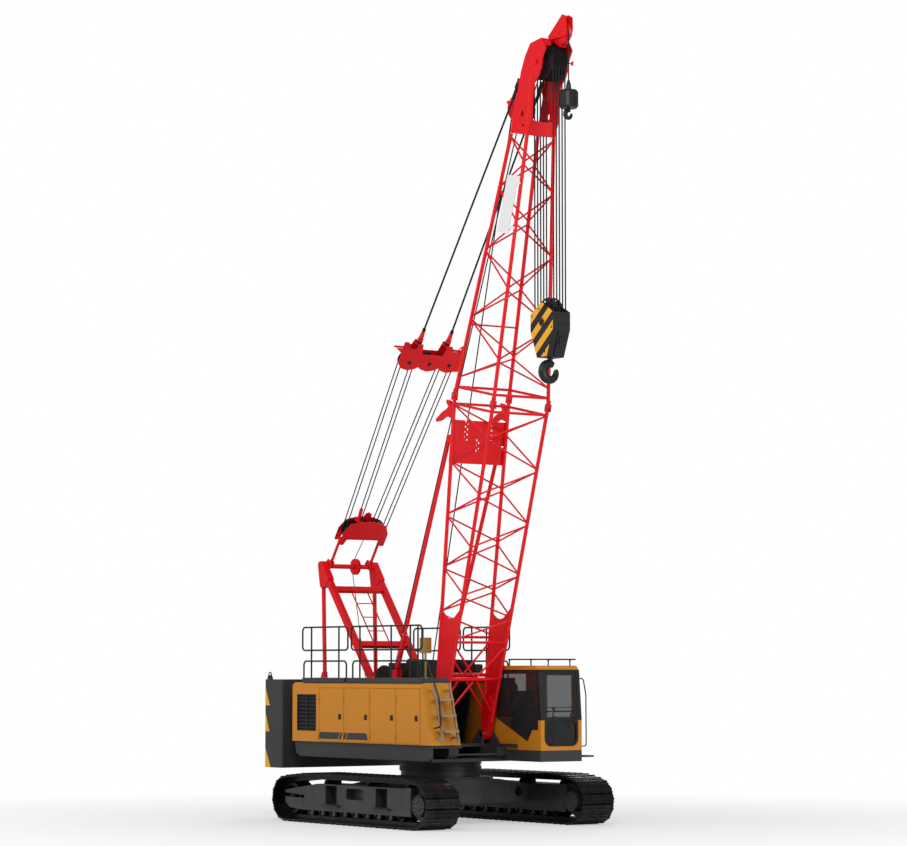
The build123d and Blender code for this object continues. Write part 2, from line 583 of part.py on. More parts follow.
def winch_stands():
    """The bearing stands of the three drums, and the valve housing between two of them."""
    stands = []
    for _, x, z, drum_radius, flange_radius, half_width in WINCHES:
        stands += winch(x, z, drum_radius, flange_radius, half_width, "stand")
    housing = box((-1100, -760), (-480, 480), (DECK_TOP + SEAT_GAP, 3096))
    stands.append(fillet(housing.edges().filter_by(Axis.Y), 14))
    return stands


def gantry_legs():
    """The red frame over the deck: sloped front legs, upright rear struts, two cross-beams and a ladder."""
    half = GANTRY_HALF_WIDTH
    (tx, tz), (fx, fz), (rx, rz) = GANTRY_TOP, GANTRY_FRONT_FOOT, GANTRY_REAR_FOOT
    lean = Vector(fx - tx, 0, fz - tz).normalized()
    across = Vector(-lean.Z, 0, lean.X)

    def on_leg(distance, offset=0.0):
        point = Vector(tx, 0, tz) + lean * distance + across * offset
        return point.X, point.Z

    length = hypot(fx - tx, fz - tz)
    frame = None
    for side in (-1, 1):
        faces = sorted((side * (half - 55), side * (half + 55)))
        leg = prism([on_leg(-40, -70), on_leg(-40, 70), on_leg(520, 62), on_leg(length + 80, 62),
                     on_leg(length + 80, -62), on_leg(520, -62)], "xz", *faces)
        cheek = [(tx - 75, tz + 20), (tx - 30, tz + 75), (tx + 60, tz + 80), (tx + 330, tz - 290),
                 (tx + 210, tz - 420), (tx + 70, tz - 470), (tx + 5, tz - 430)]
        leg += prism(cheek, "xz", faces[0] - 14, faces[1] + 14)
        strut = rod((tx + 40, side * half, tz - 380), (rx, side * half, rz + 150), 42)
        foot = prism([(rx - 150, rz), (rx + 70, rz), (rx + 55, rz + 210), (rx - 55, rz + 210), (rx - 120, rz + 90)],
                     "xz", side * half - 28, side * half + 28, 12)
        frame = leg + strut + foot if frame is None else frame + leg + strut + foot
    for distance, height in ((640.0, 55.0), (2060.0, 60.0)):
        beam = [on_leg(distance - height, -45), on_leg(distance - height, 45), on_leg(distance + height, 45),
                on_leg(distance + height, -45)]
        frame += prism(beam, "xz", -half, half)
    frame -= box((-4000, 0), (-800, 800), (1500, fz))
    x, z = GANTRY_TOP
    frame += disc(x + 60, z - 20, (-half, half), 48)
    # a rung ladder down the rear face of the frame
    for y in (-190.0, 190.0):
        start, end = on_leg(640), on_leg(2060)
        frame += rod((start[0], y, start[1]), (end[0], y, end[1]), 14)
    for rung in range(1, 4):
        px, pz = on_leg(640 + 355 * rung)
        frame += rod((px, -190, pz), (px, 190, pz), 11)
    # lugs that hold the lower hoist block's links
    for side in (-1, 1):
        for offset in (-52.0, 24.0):
            y = side * 480 + offset
            lug = prism([(x - 10, z - 60), (x + 130, z - 60), (x + 150, z + 60), (x + 60, z + 130), (x - 30, z + 60)],
                        "xz", y, y + 28)
            frame += lug
    return frame


def gantry_feet():
    """Deck brackets under the gantry: each foot stands on a post from the frame, clear of the hoods."""
    feet = []
    for x, z in (GANTRY_FRONT_FOOT, GANTRY_REAR_FOOT):
        for side in (-1, 1):
            y = side * GANTRY_HALF_WIDTH
            post = box((x - 130, x + 130), (y - 62, y + 62), (DECK_TOP + SEAT_GAP, z - SEAT_GAP))
            feet.append(post)
    return feet


def gantry_sheave():
    """The single lead sheave in the middle of the gantry's top shaft."""
    x, z = GANTRY_TOP
    return sheave((x + 60, LEAD_SHEAVE_Y, z - 20), (0, 1, 0), 132, 56, 48 + RUN_GAP)


# ---------------------------------------------------------------- boom hoist blocks and pendants

ALONG = (cos(radians(BOOM_ANGLE)), sin(radians(BOOM_ANGLE)))
REARWARD = (-ALONG[1], ALONG[0])


def boom_point(station, rear):
    """Machine x and z of a point given by its station on the boom and its offset to the rear."""
    return (BOOM_FOOT_X + ALONG[0] * station + REARWARD[0] * rear,
            BOOM_FOOT_Z + ALONG[1] * station + REARWARD[1] * rear)


# the stay line runs from the gantry's top shaft to the pendant pins on the boom head
PENDANT_PIN = boom_point(*PENDANT_PIN_AT)
LINE = (Vector(PENDANT_PIN[0], 0, PENDANT_PIN[1]) - Vector(GANTRY_TOP[0] + 60, 0, GANTRY_TOP[1] - 20)).normalized()
LINE_NORMAL = Vector(LINE.Z, 0, -LINE.X)


def on_line(along, y, normal=0.0):
    """A point of the hoist rope plane: distance from the gantry's pins, side, and offset to the front."""
    point = Vector(GANTRY_TOP[0] + 60, 0, GANTRY_TOP[1] - 20) + LINE * along + LINE_NORMAL * normal
    return point.X, y, point.Z


def line_plate(points, low, high, radius=0.0):
    """A plate square to LINE_NORMAL: its outline is in side and distance along the line."""
    corners = [on_line(along, y, low) for y, along in points]
    outline = FilletPolyline(*corners, radius=radius, close=True) if radius else Polyline(*corners, close=True)
    return extrude(make_face(outline), amount=high - low, dir=tuple(LINE_NORMAL))


LOWER_SHEAVES_Y = (-330.0, 0.0, 330.0)
UPPER_SHEAVES_Y = (-475.0, 0.0, 475.0)
HOIST_SHEAVE_RADIUS = 148.0
HOIST_LAYER = 60.0          # each block holds two layers of sheaves, this far from its middle


def lower_hoist_block():
    """The gantry's block: two arched plates, end legs and the two links down to the gantry."""
    reach = LOWER_BLOCK_REACH
    arch = [(-540, reach - 330), (-440, reach - 330), (-400, reach - 200), (400, reach - 200), (440, reach - 330),
            (540, reach - 330), (540, reach - 40), (430, reach + 150), (230, reach + 215), (0, reach + 235),
            (-230, reach + 215), (-430, reach + 150), (-540, reach - 40)]
    block = line_plate(arch, -112, -98, 30) + line_plate(arch, 98, 112, 30)
    block += line_plate([(-40, reach + 200), (-10, reach + 300), (60, reach + 335), (130, reach + 300),
                         (160, reach + 190)], -112, -98)
    for y in LOWER_SHEAVES_Y:
        block += rod(on_line(reach, y, -116), on_line(reach, y, 116), 34)
    # a stop post on a bridge between the plates
    block += line_plate([(-260, reach + 172), (-260, reach + 200), (-150, reach + 210), (-150, reach + 182)], -112, 112)
    block += rod(on_line(reach + 190, -205), on_line(reach + 470, -235), 36)
    for side in (-1, 1):
        across = sorted((side * 462, side * 498))
        link = line_plate([(across[0], -55), (across[0], reach - 215), (across[1], reach - 215), (across[1], -55)],
                          -24, 24)
        link -= disc(on_line(0, 0)[0], on_line(0, 0)[2], (across[0] - 1, across[1] + 1), 48 + RUN_GAP)
        block += link
        block += rod(on_line(reach - 270, side * 480, -120), on_line(reach - 270, side * 480, 120), 30)
    return block


def hoist_sheaves(reach, places, bore):
    """Two layers of rope sheaves at the given side places of a block."""
    wheels = []
    for y in places:
        for layer in (-HOIST_LAYER, HOIST_LAYER):
            wheels.append(sheave(on_line(reach, y, layer), tuple(LINE_NORMAL), HOIST_SHEAVE_RADIUS, 52, bore, 22, 20))
    return wheels


def upper_hoist_block():
    """The floating spreader: two plates with three lobes below and two pendant lugs above."""
    reach = UPPER_BLOCK_REACH
    lobes = [(-735, reach - 110), (-640, reach - 225), (-475, reach - 265), (-310, reach - 225), (-240, reach - 180),
             (-165, reach - 225), (0, reach - 265), (165, reach - 225), (240, reach - 180), (310, reach - 225),
             (475, reach - 265), (640, reach - 225), (735, reach - 225)]
    top = [(735, reach + 215), (420, reach + 215), (380, reach + 330), (300, reach + 330), (250, reach + 110),
           (-250, reach + 110), (-300, reach + 330), (-380, reach + 330), (-420, reach + 215), (-735, reach + 215)]
    block = line_plate(lobes + top, 98, 112)
    narrow = [(-575, reach - 200)] + lobes[2:-2] + [(575, reach - 200), (575, reach + 215)] + top[1:-1]
    block += line_plate(narrow + [(-575, reach + 215)], -112, -98)
    # drilled brackets on both ends of the front plate
    for side in (-1, 1):
        bracket = line_plate([(side * 735, reach + 150), (side * 735, reach + 345), (side * 640, reach + 350),
                              (side * 560, reach + 240), (side * 560, reach + 150)], 84, 98)
        for y, along in ((690, reach + 290), (625, reach + 270)):
            bracket -= rod(on_line(along, side * y, 83), on_line(along, side * y, 99), 22)
        block += bracket
    for y in UPPER_SHEAVES_Y:
        block += rod(on_line(reach - 90, y, -116), on_line(reach - 90, y, 116), 34)
    for side in (-1, 1):
        y = side * PENDANT_LOW_SPACING
        block += rod(on_line(reach + 270, y, -112), on_line(reach + 270, y, 112), 38)
        block += rod(on_line(reach + 140, side * 520, -112), on_line(reach + 140, side * 520, 112), 26)
        block += rod(on_line(reach + 160, side * 560, -60), on_line(reach + 160, side * 830, -60), 20)
        block += line_plate([(side * 535, reach + 100), (side * 570, reach + 100), (side * 570, reach + 190),
                             (side * 535, reach + 190)], -102, -32)
        block += line_plate([(side * 500, reach + 96), (side * 730, reach + 96), (side * 730, reach + 112),
                             (side * 500, reach + 112)], -98, 98)
    return block


def pendants():
    """Two stay ropes with an open socket at each end, from the spreader to the boom head."""
    stays = []
    low, high = UPPER_BLOCK_REACH + 270, pendant_length()
    for side in (-1, 1):
        y_low, y_high = side * PENDANT_LOW_SPACING, side * PENDANT_HALF_SPACING
        parts = []
        for at, y, toward in ((low, y_low, 1), (high, y_high, -1)):
            body = rod(on_line(at + toward * 120, y), on_line(at + toward * 360, y), 34)
            for cheek in (-34, 22):
                if at == low:
                    fork = line_plate([(y - 44, at - 50), (y - 44, at + 150), (y + 44, at + 150), (y + 44, at - 50)],
                                      cheek, cheek + 12)
                    fork -= rod(on_line(at, y, cheek - 1), on_line(at, y, cheek + 13), 38 + PIN_GAP)
                    body += fork
                else:
                    body += socket_cheek(at, y, toward, cheek)
            parts.append(body)
        rope = rod(on_line(low + 330, y_low), on_line(high - 330, y_high), 19)
        stays.append(parts[0] + rope + parts[1])
    return stays


def pendant_length():
    """Distance along the hoist line from the gantry's pins to the pendant pins on the boom head."""
    x, z = boom_point(*PENDANT_PIN_AT)
    start = on_line(0, 0)
    return hypot(x - start[0], z - start[2])


def socket_cheek(at, y, toward, cheek):
    """One fork cheek of the upper socket, beside the lug of the boom head."""
    edge = sorted((at - toward * 55, at + toward * 150))
    corners = [on_line(edge[0], y + cheek, -42), on_line(edge[0], y + cheek, 42), on_line(edge[1], y + cheek, 42),
               on_line(edge[1], y + cheek, -42)]
    plate = extrude(make_face(Polyline(*corners, close=True)), amount=12, dir=(0, 1, 0))
    centre = on_line(at, y)
    return plate - disc(centre[0], centre[2], (y + cheek - 1, y + cheek + 13), PENDANT_PIN_RADIUS + PIN_GAP)


# ---------------------------------------------------------------- boom

def boom_at(station, rear, y):
    x, z = boom_point(station, rear)
    return x, y, z


def boom_prism(points, low, high, radius=0.0):
    """An outline in station and rear offset, drawn out between two side limits."""
    return prism([boom_point(s, d) for s, d in points], "xz", low, high, radius)


def half_size(station):
    """Half width and half depth of the chord square at a station."""
    if station <= BASE_LENGTH:
        share = station / BASE_LENGTH
        return (FOOT_HALF_WIDTH + (JOINT_HALF_WIDTH - FOOT_HALF_WIDTH) * share,
                FOOT_HALF_DEPTH + (JOINT_HALF_DEPTH - FOOT_HALF_DEPTH) * share)
    share = (station - BASE_LENGTH) / TOP_LENGTH
    return (JOINT_HALF_WIDTH + (NOSE_HALF_WIDTH - JOINT_HALF_WIDTH) * share,
            JOINT_HALF_DEPTH + (NOSE_HALF_DEPTH - JOINT_HALF_DEPTH) * share)


def chord_point(station, rear_side, left_side):
    width, depth = half_size(station)
    return boom_at(station, rear_side * depth, left_side * width)


# the four chords: rear or front, right or left; lacing nodes of the first kind sit on REAR_RIGHT and FRONT_LEFT
REAR_RIGHT, FRONT_RIGHT, FRONT_LEFT, REAR_LEFT = (1, -1), (-1, -1), (-1, 1), (1, 1)
FACES = ((REAR_RIGHT, FRONT_RIGHT), (FRONT_LEFT, FRONT_RIGHT), (FRONT_LEFT, REAR_LEFT), (REAR_RIGHT, REAR_LEFT))
BASE_NODES = ((6330, 5240, 4190, 3185, 2330), (5800, 4710, 3680, 2750))
TOP_NODES = ((6810, 7995, 9310, 10520, 11535), (7290, 8640, 9910, 11030))


def lacing(nodes, chord_cut):
    """Zigzag braces on the four faces, coped to the chords with a weld gap."""
    braces = []
    even, odd = nodes
    if even[0] > even[-1]:
        even, odd = tuple(reversed(even)), tuple(reversed(odd))
    spread = LACE_RADIUS * 1.55
    for first, second in FACES:
        stops = []
        for index, station in enumerate(even):
            stops.append((station, first))
            if index < len(odd):
                stops.append((odd[index], second))
        for (low, low_chord), (high, high_chord) in zip(stops, stops[1:]):
            brace = rod(chord_point(low + spread, *low_chord), chord_point(high - spread, *high_chord), LACE_RADIUS)
            for chord in (low_chord, high_chord):
                brace -= chord_cut[chord]
            braces.append(brace)
    return braces


def chord_rods(low, high, radius, beyond=200.0):
    """Straight rods on the four chord lines, run on past both given stations."""
    rods = {}
    for chord in (REAR_RIGHT, FRONT_RIGHT, FRONT_LEFT, REAR_LEFT):
        start, end = Vector(*chord_point(low, *chord)), Vector(*chord_point(high, *chord))
        run_on = (end - start).normalized() * beyond
        rods[chord] = rod(tuple(start - run_on), tuple(end + run_on), radius)
    return rods


def frame_struts(station, chord_cut, radius=26.0):
    """Four straight struts that close the chord square at a station."""
    corners = (REAR_RIGHT, FRONT_RIGHT, FRONT_LEFT, REAR_LEFT)
    struts = []
    for chord, following in zip(corners, corners[1:] + corners[:1]):
        strut = rod(chord_point(station, *chord), chord_point(station, *following), radius)
        struts.append(strut - chord_cut[chord] - chord_cut[following])
    return struts


def joint_lugs(station, reach, offsets):
    """Pin lugs on the four chord ends: plates at the given side offsets, bored for the joint pin."""
    lugs = {}
    for chord in (REAR_RIGHT, FRONT_RIGHT, FRONT_LEFT, REAR_LEFT):
        rear, left = chord
        width, depth = half_size(station)
        ears = None
        for low, high in offsets:
            ear = boom_prism([(station - reach, rear * depth - 48), (station - reach, rear * depth + 48),
                              (station + 40 * (1 if reach > 0 else -1), rear * depth + 44),
                              (station + 40 * (1 if reach > 0 else -1), rear * depth - 44)],
                             left * width + low, left * width + high)
            ears = ear if ears is None else ears + ear
        x, z = boom_point(station, rear * depth)
        ears -= disc(x, z, (left * width - 80, left * width + 80), 24 + PIN_GAP)
        lugs[chord] = ears
    return lugs


def boom_base():
    """The lower boom section: tapered lattice with plated legs and two foot ears."""
    top = BASE_LENGTH - 75.0
    knee = 250.0
    cut = chord_rods(knee, top, CHORD_RADIUS + WELD_GAP)
    lugs = joint_lugs(BASE_LENGTH, 110.0, ((-46, -20), (20, 46)))
    solids = []
    for side in (-1, 1):
        leg = None
        for rear in (1, -1):
            chord = rod(chord_point(knee, rear, side), chord_point(top, rear, side), CHORD_RADIUS)
            chord += lugs[(rear, side)]
            leg = chord if leg is None else leg + chord
        # the side plate between the chords, with a hollowed upper edge
        middle = side * LEG_PLATE_Y
        leg += boom_prism(LEG_PLATE, middle - 14, middle + 14)
        ear_faces = sorted((side * 503, side * 629))
        ear = boom_prism([(0, 112), (620, 168), (760, 0), (620, -168), (0, -112)], *ear_faces)
        ear += disc(BOOM_FOOT_X, BOOM_FOOT_Z, ear_faces, 118)
        leg += ear
        leg -= disc(BOOM_FOOT_X, BOOM_FOOT_Z, (ear_faces[0] - 5, ear_faces[1] + 5), PIN_RADIUS + PIN_GAP)
        solids.append(leg)
    for brace in lacing(BASE_NODES, cut) + knee_braces(cut):
        solids.append(brace - leg_plate_cut(-1) - leg_plate_cut(1))
    solids += frame_struts(BASE_LENGTH - 175.0, cut)
    # cross tubes and braces between the legs, front and rear
    for rear in (-1, 1):
        tubes = []
        for station, radius in ((KNEE_TUBE, 38.0), (HIP_TUBE, 26.0)):
            low, high = chord_point(station, rear, -1), chord_point(station, rear, 1)
            solids.append(rod(low, high, radius) - leg_cut(cut, rear))
            tubes.append(rod(low, high, radius + WELD_GAP))
        for side in (-1, 1):
            depth = rear * half_size(KNEE_TUBE)[1]
            # a vee down from the hip tube's ends, and another spread from the knee tube to the feet
            upper = rod(chord_point(HIP_TUBE - 90, rear, side), boom_at(KNEE_TUBE + 45, depth, side * 34), 20)
            lower = rod(boom_at(KNEE_TUBE - 52, depth, side * 45), chord_point(380, rear, side), 24)
            solids.append(upper - leg_cut(cut, rear) - tubes[0] - tubes[1])
            solids.append(lower - leg_cut(cut, rear) - tubes[0])
    return solids


KNEE_TUBE, HIP_TUBE = 1120.0, 1850.0
LEG_PLATE = ((60, 105), (2365, 312), (2300, 210), (2265, 110), (2262, 0), (2300, -110), (2400, -200),
             (2560, -330), (60, -105))
LEG_PLATE_Y = (half_size(60.0)[0] + half_size(2330.0)[0]) / 2


def knee_braces(cut):
    """One more brace in the front and the rear face, down from the lowest node to the hip tube's end."""
    braces = []
    for rear, side in (REAR_RIGHT, FRONT_LEFT):
        brace = rod(chord_point(2285, rear, side), chord_point(HIP_TUBE + 62, rear, -side), LACE_RADIUS)
        braces.append(brace - cut[(rear, side)] - cut[(rear, -side)])
    return braces


def leg_cut(cut, rear):
    """What both legs take of a tube between them, in the front or the rear face."""
    return cut[(rear, -1)] + cut[(rear, 1)] + leg_plate_cut(-1) + leg_plate_cut(1)


def leg_plate_cut(side):
    """The room that the side plate and foot ear of one leg take, with the weld gap."""
    faces = sorted((side * (503 - WELD_GAP), side * (800)))
    lower = boom_prism([(-200, 200), (760, 200), (760, -200), (-200, -200)], *faces)
    room = [(station + (1 if station > 100 else 0), rear * 1.3 if abs(rear) > 300 else rear)
            for station, rear in LEG_PLATE]
    middle = side * LEG_PLATE_Y
    return lower + boom_prism(room, middle - 14 - WELD_GAP, middle + 14 + WELD_GAP)


def boom_top():
    """The tapered upper boom section up to the head."""
    low, high = BASE_LENGTH + 75.0, BASE_LENGTH + TOP_LENGTH
    cut = chord_rods(low, high, CHORD_RADIUS + WELD_GAP)
    lugs = joint_lugs(BASE_LENGTH, -110.0, ((-19, 19),))
    solids = []
    for chord in (REAR_RIGHT, FRONT_RIGHT, FRONT_LEFT, REAR_LEFT):
        solids.append(rod(chord_point(low, *chord), chord_point(high - 4, *chord), CHORD_RADIUS) + lugs[chord])
    solids += lacing(TOP_NODES, cut)
    solids += frame_struts(BASE_LENGTH + 150.0, cut)
    # one strut straight across the rear face
    strut = rod(chord_point(REAR_STRUT, *REAR_RIGHT), chord_point(REAR_STRUT, *REAR_LEFT), LACE_RADIUS)
    solids.append(strut - cut[REAR_RIGHT] - cut[REAR_LEFT])
    return solids


def section_pins():
    """Four pins that join the two boom sections."""
    pins = []
    width, depth = half_size(BASE_LENGTH)
    for rear in (-1, 1):
        x, z = boom_point(BASE_LENGTH, rear * depth)
        for side in (-1, 1):
            pin = disc(x, z, (side * width - 52, side * width + 52), 24)
            pin += disc(x, z, sorted((side * width + side * 46.3, side * width + side * 60)), 34)
            pins.append(pin)
    return pins


def nose_edge(share, gap=0.0):
    """A point along the head's front edge, from its top corner to its lower corner, off by a gap."""
    start, end = (13280.0, -30.0), (13390.0, -370.0)
    length = hypot(end[0] - start[0], end[1] - start[1])
    out = ((start[1] - end[1]) / length * gap, (end[0] - start[0]) / length * gap)
    return (start[0] + (end[0] - start[0]) * share + out[0], start[1] + (end[1] - start[1]) * share + out[1])


def boom_head():
    """The welded head: two side plates with ribs, cross boxes, sheave shafts and lugs."""
    nose = BASE_LENGTH + TOP_LENGTH
    outline = [(nose + WELD_GAP, 262), (12250, 205), (12750, 160), (13040, 85), (13280, -30), (13400, -370),
               (13230, -520), (13098, -475), (12977, -440), (12830, -445), (12690, -400), (12545, -290),
               (12090, -320), (11850, -345), (11700, -300), (nose + WELD_GAP, -290)]
    inner, outer = NOSE_HALF_WIDTH - 22.0, NOSE_HALF_WIDTH + 14.0
    head = None
    for side in (-1, 1):
        cheek = boom_prism(outline, *sorted((side * inner, side * outer)))
        # station, rear offset, half length and half width of two oval openings
        for station, rear, length, width in ((11950, -35, 66, 46), (11740, -110, 26, 40)):
            oval = [boom_point(station + length * cos(turn), rear + width * sin(turn))
                    for turn in [2 * pi * step / 24 for step in range(24)]]
            cheek -= prism(oval, "xz", *sorted((side * (inner - 5), side * (outer + 5))))
        # the chords run on up the plates as ribs
        for rear, reach in ((1, 12330.0), (-1, 12690.0)):
            depth = rear * NOSE_HALF_DEPTH * 0.97
            end_depth = depth - rear * 0.075 * (reach - nose)
            rib = rod(boom_at(nose + 2, depth, side * NOSE_HALF_WIDTH),
                      boom_at(reach, end_depth, side * (NOSE_HALF_WIDTH + 4)), CHORD_RADIUS - 4)
            cheek += rib
        # the pendant's lug stands behind the plate's rear edge and carries its pin
        y = side * PENDANT_HALF_SPACING
        station, rear = PENDANT_PIN_AT
        lug = boom_prism([(station - 230, 150), (station - 60, rear + 38), (station + 30, rear + 46),
                          (station + 110, 140)], y - 21, y + 21)
        cheek += lug + disc(*PENDANT_PIN, (y - 42, y + 42), PENDANT_PIN_RADIUS)
        head = cheek if head is None else head + cheek
    # top cap, front band, the lower front panel with its hollowed edge, and the rear plate
    head += boom_prism([(12800, 148), (13040, 84), (13272, -26), (13266, -50), (13256, -45), (13032, 68),
                        (12796, 132)], -inner, inner)
    head += boom_prism([nose_edge(0.0), nose_edge(1.0), (13385, -385), (13258, -42)], -inner, inner)
    for low, high in ((-inner, -92), (92, inner)):
        head += boom_prism([(13396, -352), (13396, -370), (13272, -384), (13272, -366)], low, high)
    low_panel = [boom_at(nose + 2, -285, -inner), boom_at(nose + 2, -285, inner), boom_at(11930, -285, inner),
                 boom_at(11860, -285, inner - 80), boom_at(11830, -285, 0), boom_at(11850, -285, 60 - inner),
                 boom_at(11930, -285, -inner)]
    low_panel = make_face(Polyline(*low_panel, close=True))
    head += extrude(low_panel, amount=22, dir=(REARWARD[0], 0, REARWARD[1]))
    head += boom_prism([(nose + 2, 238), (nose + 2, 262), (11800, 246), (11800, 222)], -inner, inner)
    head += disc(*boom_point(*HEAD_SHEAVE_AT), (-outer - 30, outer + 30), 55)
    # the small ear and the limit arm ahead of the left plate
    head += boom_prism([(13230, -420), (13310, -455), (13290, -400), (13200, -380)], inner, outer)
    head += rod(boom_at(12985, -400, outer - 8), boom_at(12990, -560, outer - 8), 12)
    head += rod(boom_at(12950, -560, outer - 8), boom_at(13030, -560, outer - 8), 22)
    # rear guide sheave hangers
    for low, high in ((-210, -188), (-112, -90), (0, 22), (98, 120)):
        head += boom_prism([(11700, 240), (11809, 427), (11895, 550), (12035, 625), (12136, 625), (12240, 540),
                            (12261, 361), (12250, 190)], low, high)
    head += disc(*boom_point(12010, 340), (-216, 126), 36)
    head += disc(*boom_point(12150, 632), (-216, -84), 28)
    return head


def head_sheaves():
    """Five load sheaves on the head shaft and two guide sheaves at its rear."""
    wheels = []
    x, z = boom_point(*HEAD_SHEAVE_AT)
    for index in range(HEAD_SHEAVE_COUNT):
        y = (index - (HEAD_SHEAVE_COUNT - 1) / 2) * HEAD_SHEAVE_PITCH
        wheels.append(sheave((x, y, z), (0, 1, 0), SHEAVE_RADIUS, 58, 55.05))
    x, z = boom_point(12010, 340)
    for y in (-150.0, 60.0):
        wheels.append(sheave((x, y, z), (0, 1, 0), 190, 60, 36.05))
    return wheels


AUX_SHEAVE_AT = (13513.0, -565.0)
AUX_SHEAVE_RADIUS = 190.0


def auxiliary_tip():
    """The single-sheave tip over the head, for the auxiliary rope."""
    outline = [nose_edge(0.75, SEAT_GAP), (13440, -240), (13870, -600), (13830, -720), (13620, -770),
               (13470, -760), nose_edge(1.0, SEAT_GAP)]
    tip = None
    for low, high in ((-85, -61), (61, 85)):
        cheek = boom_prism(outline, low, high)
        tip = cheek if tip is None else tip + cheek
    tip += boom_prism([nose_edge(1.0, SEAT_GAP), nose_edge(0.78, SEAT_GAP), (13440, -250), (13560, -350)], -61, 61)
    tip += boom_prism([(13860, -600), (13740, -500), (13725, -520), (13840, -620)], -61, 61)
    tip += disc(*boom_point(*AUX_SHEAVE_AT), (-95, 95), 34)
    return tip


def auxiliary_sheave():
    x, z = boom_point(*AUX_SHEAVE_AT)
    return sheave((x, 0, z), (0, 1, 0), AUX_SHEAVE_RADIUS, 104, 34.05, 28, 30)


def rope_guard():
    """The pierced plate on the rear chords that keeps the hoist ropes off the lacing."""
    low, high = 5180.0, 6012.0
    width = half_size(low)[0] + 20
    lift = CHORD_RADIUS + SEAT_GAP
    depth_low, depth_high = half_size(low)[1] + lift, half_size(high)[1] + lift
    panel = boom_prism([(low, depth_low), (high, depth_high), (high, depth_high + 12), (low, depth_low + 12)],
                       -width, width)
    # side place, first station, number of holes
    for y, station, holes in ((-287, 5990, 8), (0, 5640, 5), (287, 5990, 8)):
        for hole in range(holes):
            at = station - 50 * hole
            x, z = boom_point(at, half_size(at)[1] + lift)
            place = y + (25 if hole % 2 else -25)
            panel -= rod((x + 60, place, z - 12), (x - 60, place, z + 12), 18)
    station, rear = BACKSTOP_LUG_AT
    for side in (-1, 1):
        notch = sorted((side * (BACKSTOP_Y - 52), side * (width + 1)))
        panel -= boom_prism([(station - 110, 500), (station + 110, 500), (station + 110, 800), (station - 110, 800)],
                            *notch)
    return panel


def name_board():
    """A blank white board on the right face of the upper section, hung on two clips from the front chord."""
    def face(station, rear, out):
        return boom_at(station, rear, -(half_size(station)[0] + CHORD_RADIUS + out))

    low, high = 9680.0, 10780.0
    corners = [face(low, 110, 1), face(high, 84, 1), face(high, -272, 1), face(low, -246, 1)]
    board = extrude(make_face(Polyline(*corners, close=True)), amount=12, dir=(0, -1, 0))
    for station in (9800.0, 10650.0):
        depth = half_size(station)[1]
        tab = [face(station - 30, -200, 1), face(station + 30, -200, 1), face(station + 30, -depth, 1),
               face(station - 30, -depth, 1)]
        clip = extrude(make_face(Polyline(*tab, close=True)), amount=8, dir=(0, -1, 0))
        pad = face(station, -depth, -4)
        board += clip + rod(pad, (pad[0], pad[1] - 8, pad[2]), 26)
    return board - chord_clear(low, high)


def chord_clear(low, high):
    """The room of the front right chord, with a seat gap."""
    return chord_rods(low, high, CHORD_RADIUS + SEAT_GAP)[FRONT_RIGHT]


def backstop_tubes():
    """Two tubes that hang from lugs on the boom's rear chords."""
    bx, bz = boom_point(*BACKSTOP_LUG_AT)
    fx, fz = BACKSTOP_FOOT
    length = hypot(bx - fx, bz - fz)
    ux, uz = (fx - bx) / length, (fz - bz) / length
    tubes = []
    for side in (-1, 1):
        y = side * BACKSTOP_Y
        tube = rod((bx + ux * 170, y, bz + uz * 170), (bx + ux * (length - 950), y, bz + uz * (length - 950)), 38, 27)
        tube += prism([(bx - uz * 30, bz + ux * 30), (bx + ux * 200 - uz * 26, bz + uz * 200 + ux * 26),
                       (bx + ux * 200 + uz * 26, bz + uz * 200 - ux * 26), (bx + uz * 30, bz - ux * 30)], "xz",
                      y - 22, y + 22)
        tube += disc(bx, bz, (y - 22, y + 22), 48)
        tube -= disc(bx, bz, (y - 23, y + 23), 22 + PIN_GAP)
        tubes.append(tube)
    return tubes


def backstop_rods():
    """The sliding rods of the backstops, with their buffer barrels at the foot."""
    bx, bz = boom_point(*BACKSTOP_LUG_AT)
    fx, fz = BACKSTOP_FOOT
    length = hypot(bx - fx, bz - fz)
    ux, uz = (bx - fx) / length, (bz - fz) / length
    rods = []
    for side in (-1, 1):
        y = side * BACKSTOP_Y
        bar = rod((fx + ux * 40, y, fz + uz * 40), (fx + ux * 3300, y, fz + uz * 3300), 26.5)
        bar += rod((fx + ux * 120, y, fz + uz * 120), (fx + ux * 800, y, fz + uz * 800), 52)
        bar += disc(fx, fz, (y - 24, y + 24), 50)
        rods.append(bar)
    return rods


def backstop_lugs():
    """Forked lugs with the backstops' pins, and above them the curved claws that guide the tubes."""
    lugs = []
    station, rear = BACKSTOP_LUG_AT
    for side in (-1, 1):
        y = side * BACKSTOP_Y
        base = half_size(station)[1] + CHORD_RADIUS + WELD_GAP
        fork = boom_prism([(station - 90, base - 7), (station - 90, base + 5), (station + 90, base + 20),
                           (station + 90, base + 8)], y - 46, y + 46)
        for low, high in ((-46, -26), (26, 46)):
            fork += boom_prism([(station - 90, base - 7), (station - 44, rear + 40), (station + 44, rear + 40),
                                (station + 90, base + 8)], y + low, y + high)
        fork += disc(*boom_point(station, rear), (y - 50, y + 50), 22)
        lugs.append(fork)
        chord_y = side * half_size(6200.0)[0]
        claw = [(6030, 625), (6060, 800), (6010, 900), (5940, 1010), (5905, 1130), (5950, 1150), (6030, 1060),
                (6120, 960), (6190, 830), (6250, 780), (6320, 870), (6370, 860), (6360, 760), (6290, 690), (6280, 645)]
        lugs.append(boom_prism(claw, chord_y - 30, chord_y + 30) - chord_cut(6000.0, 6350.0, side))
    return lugs


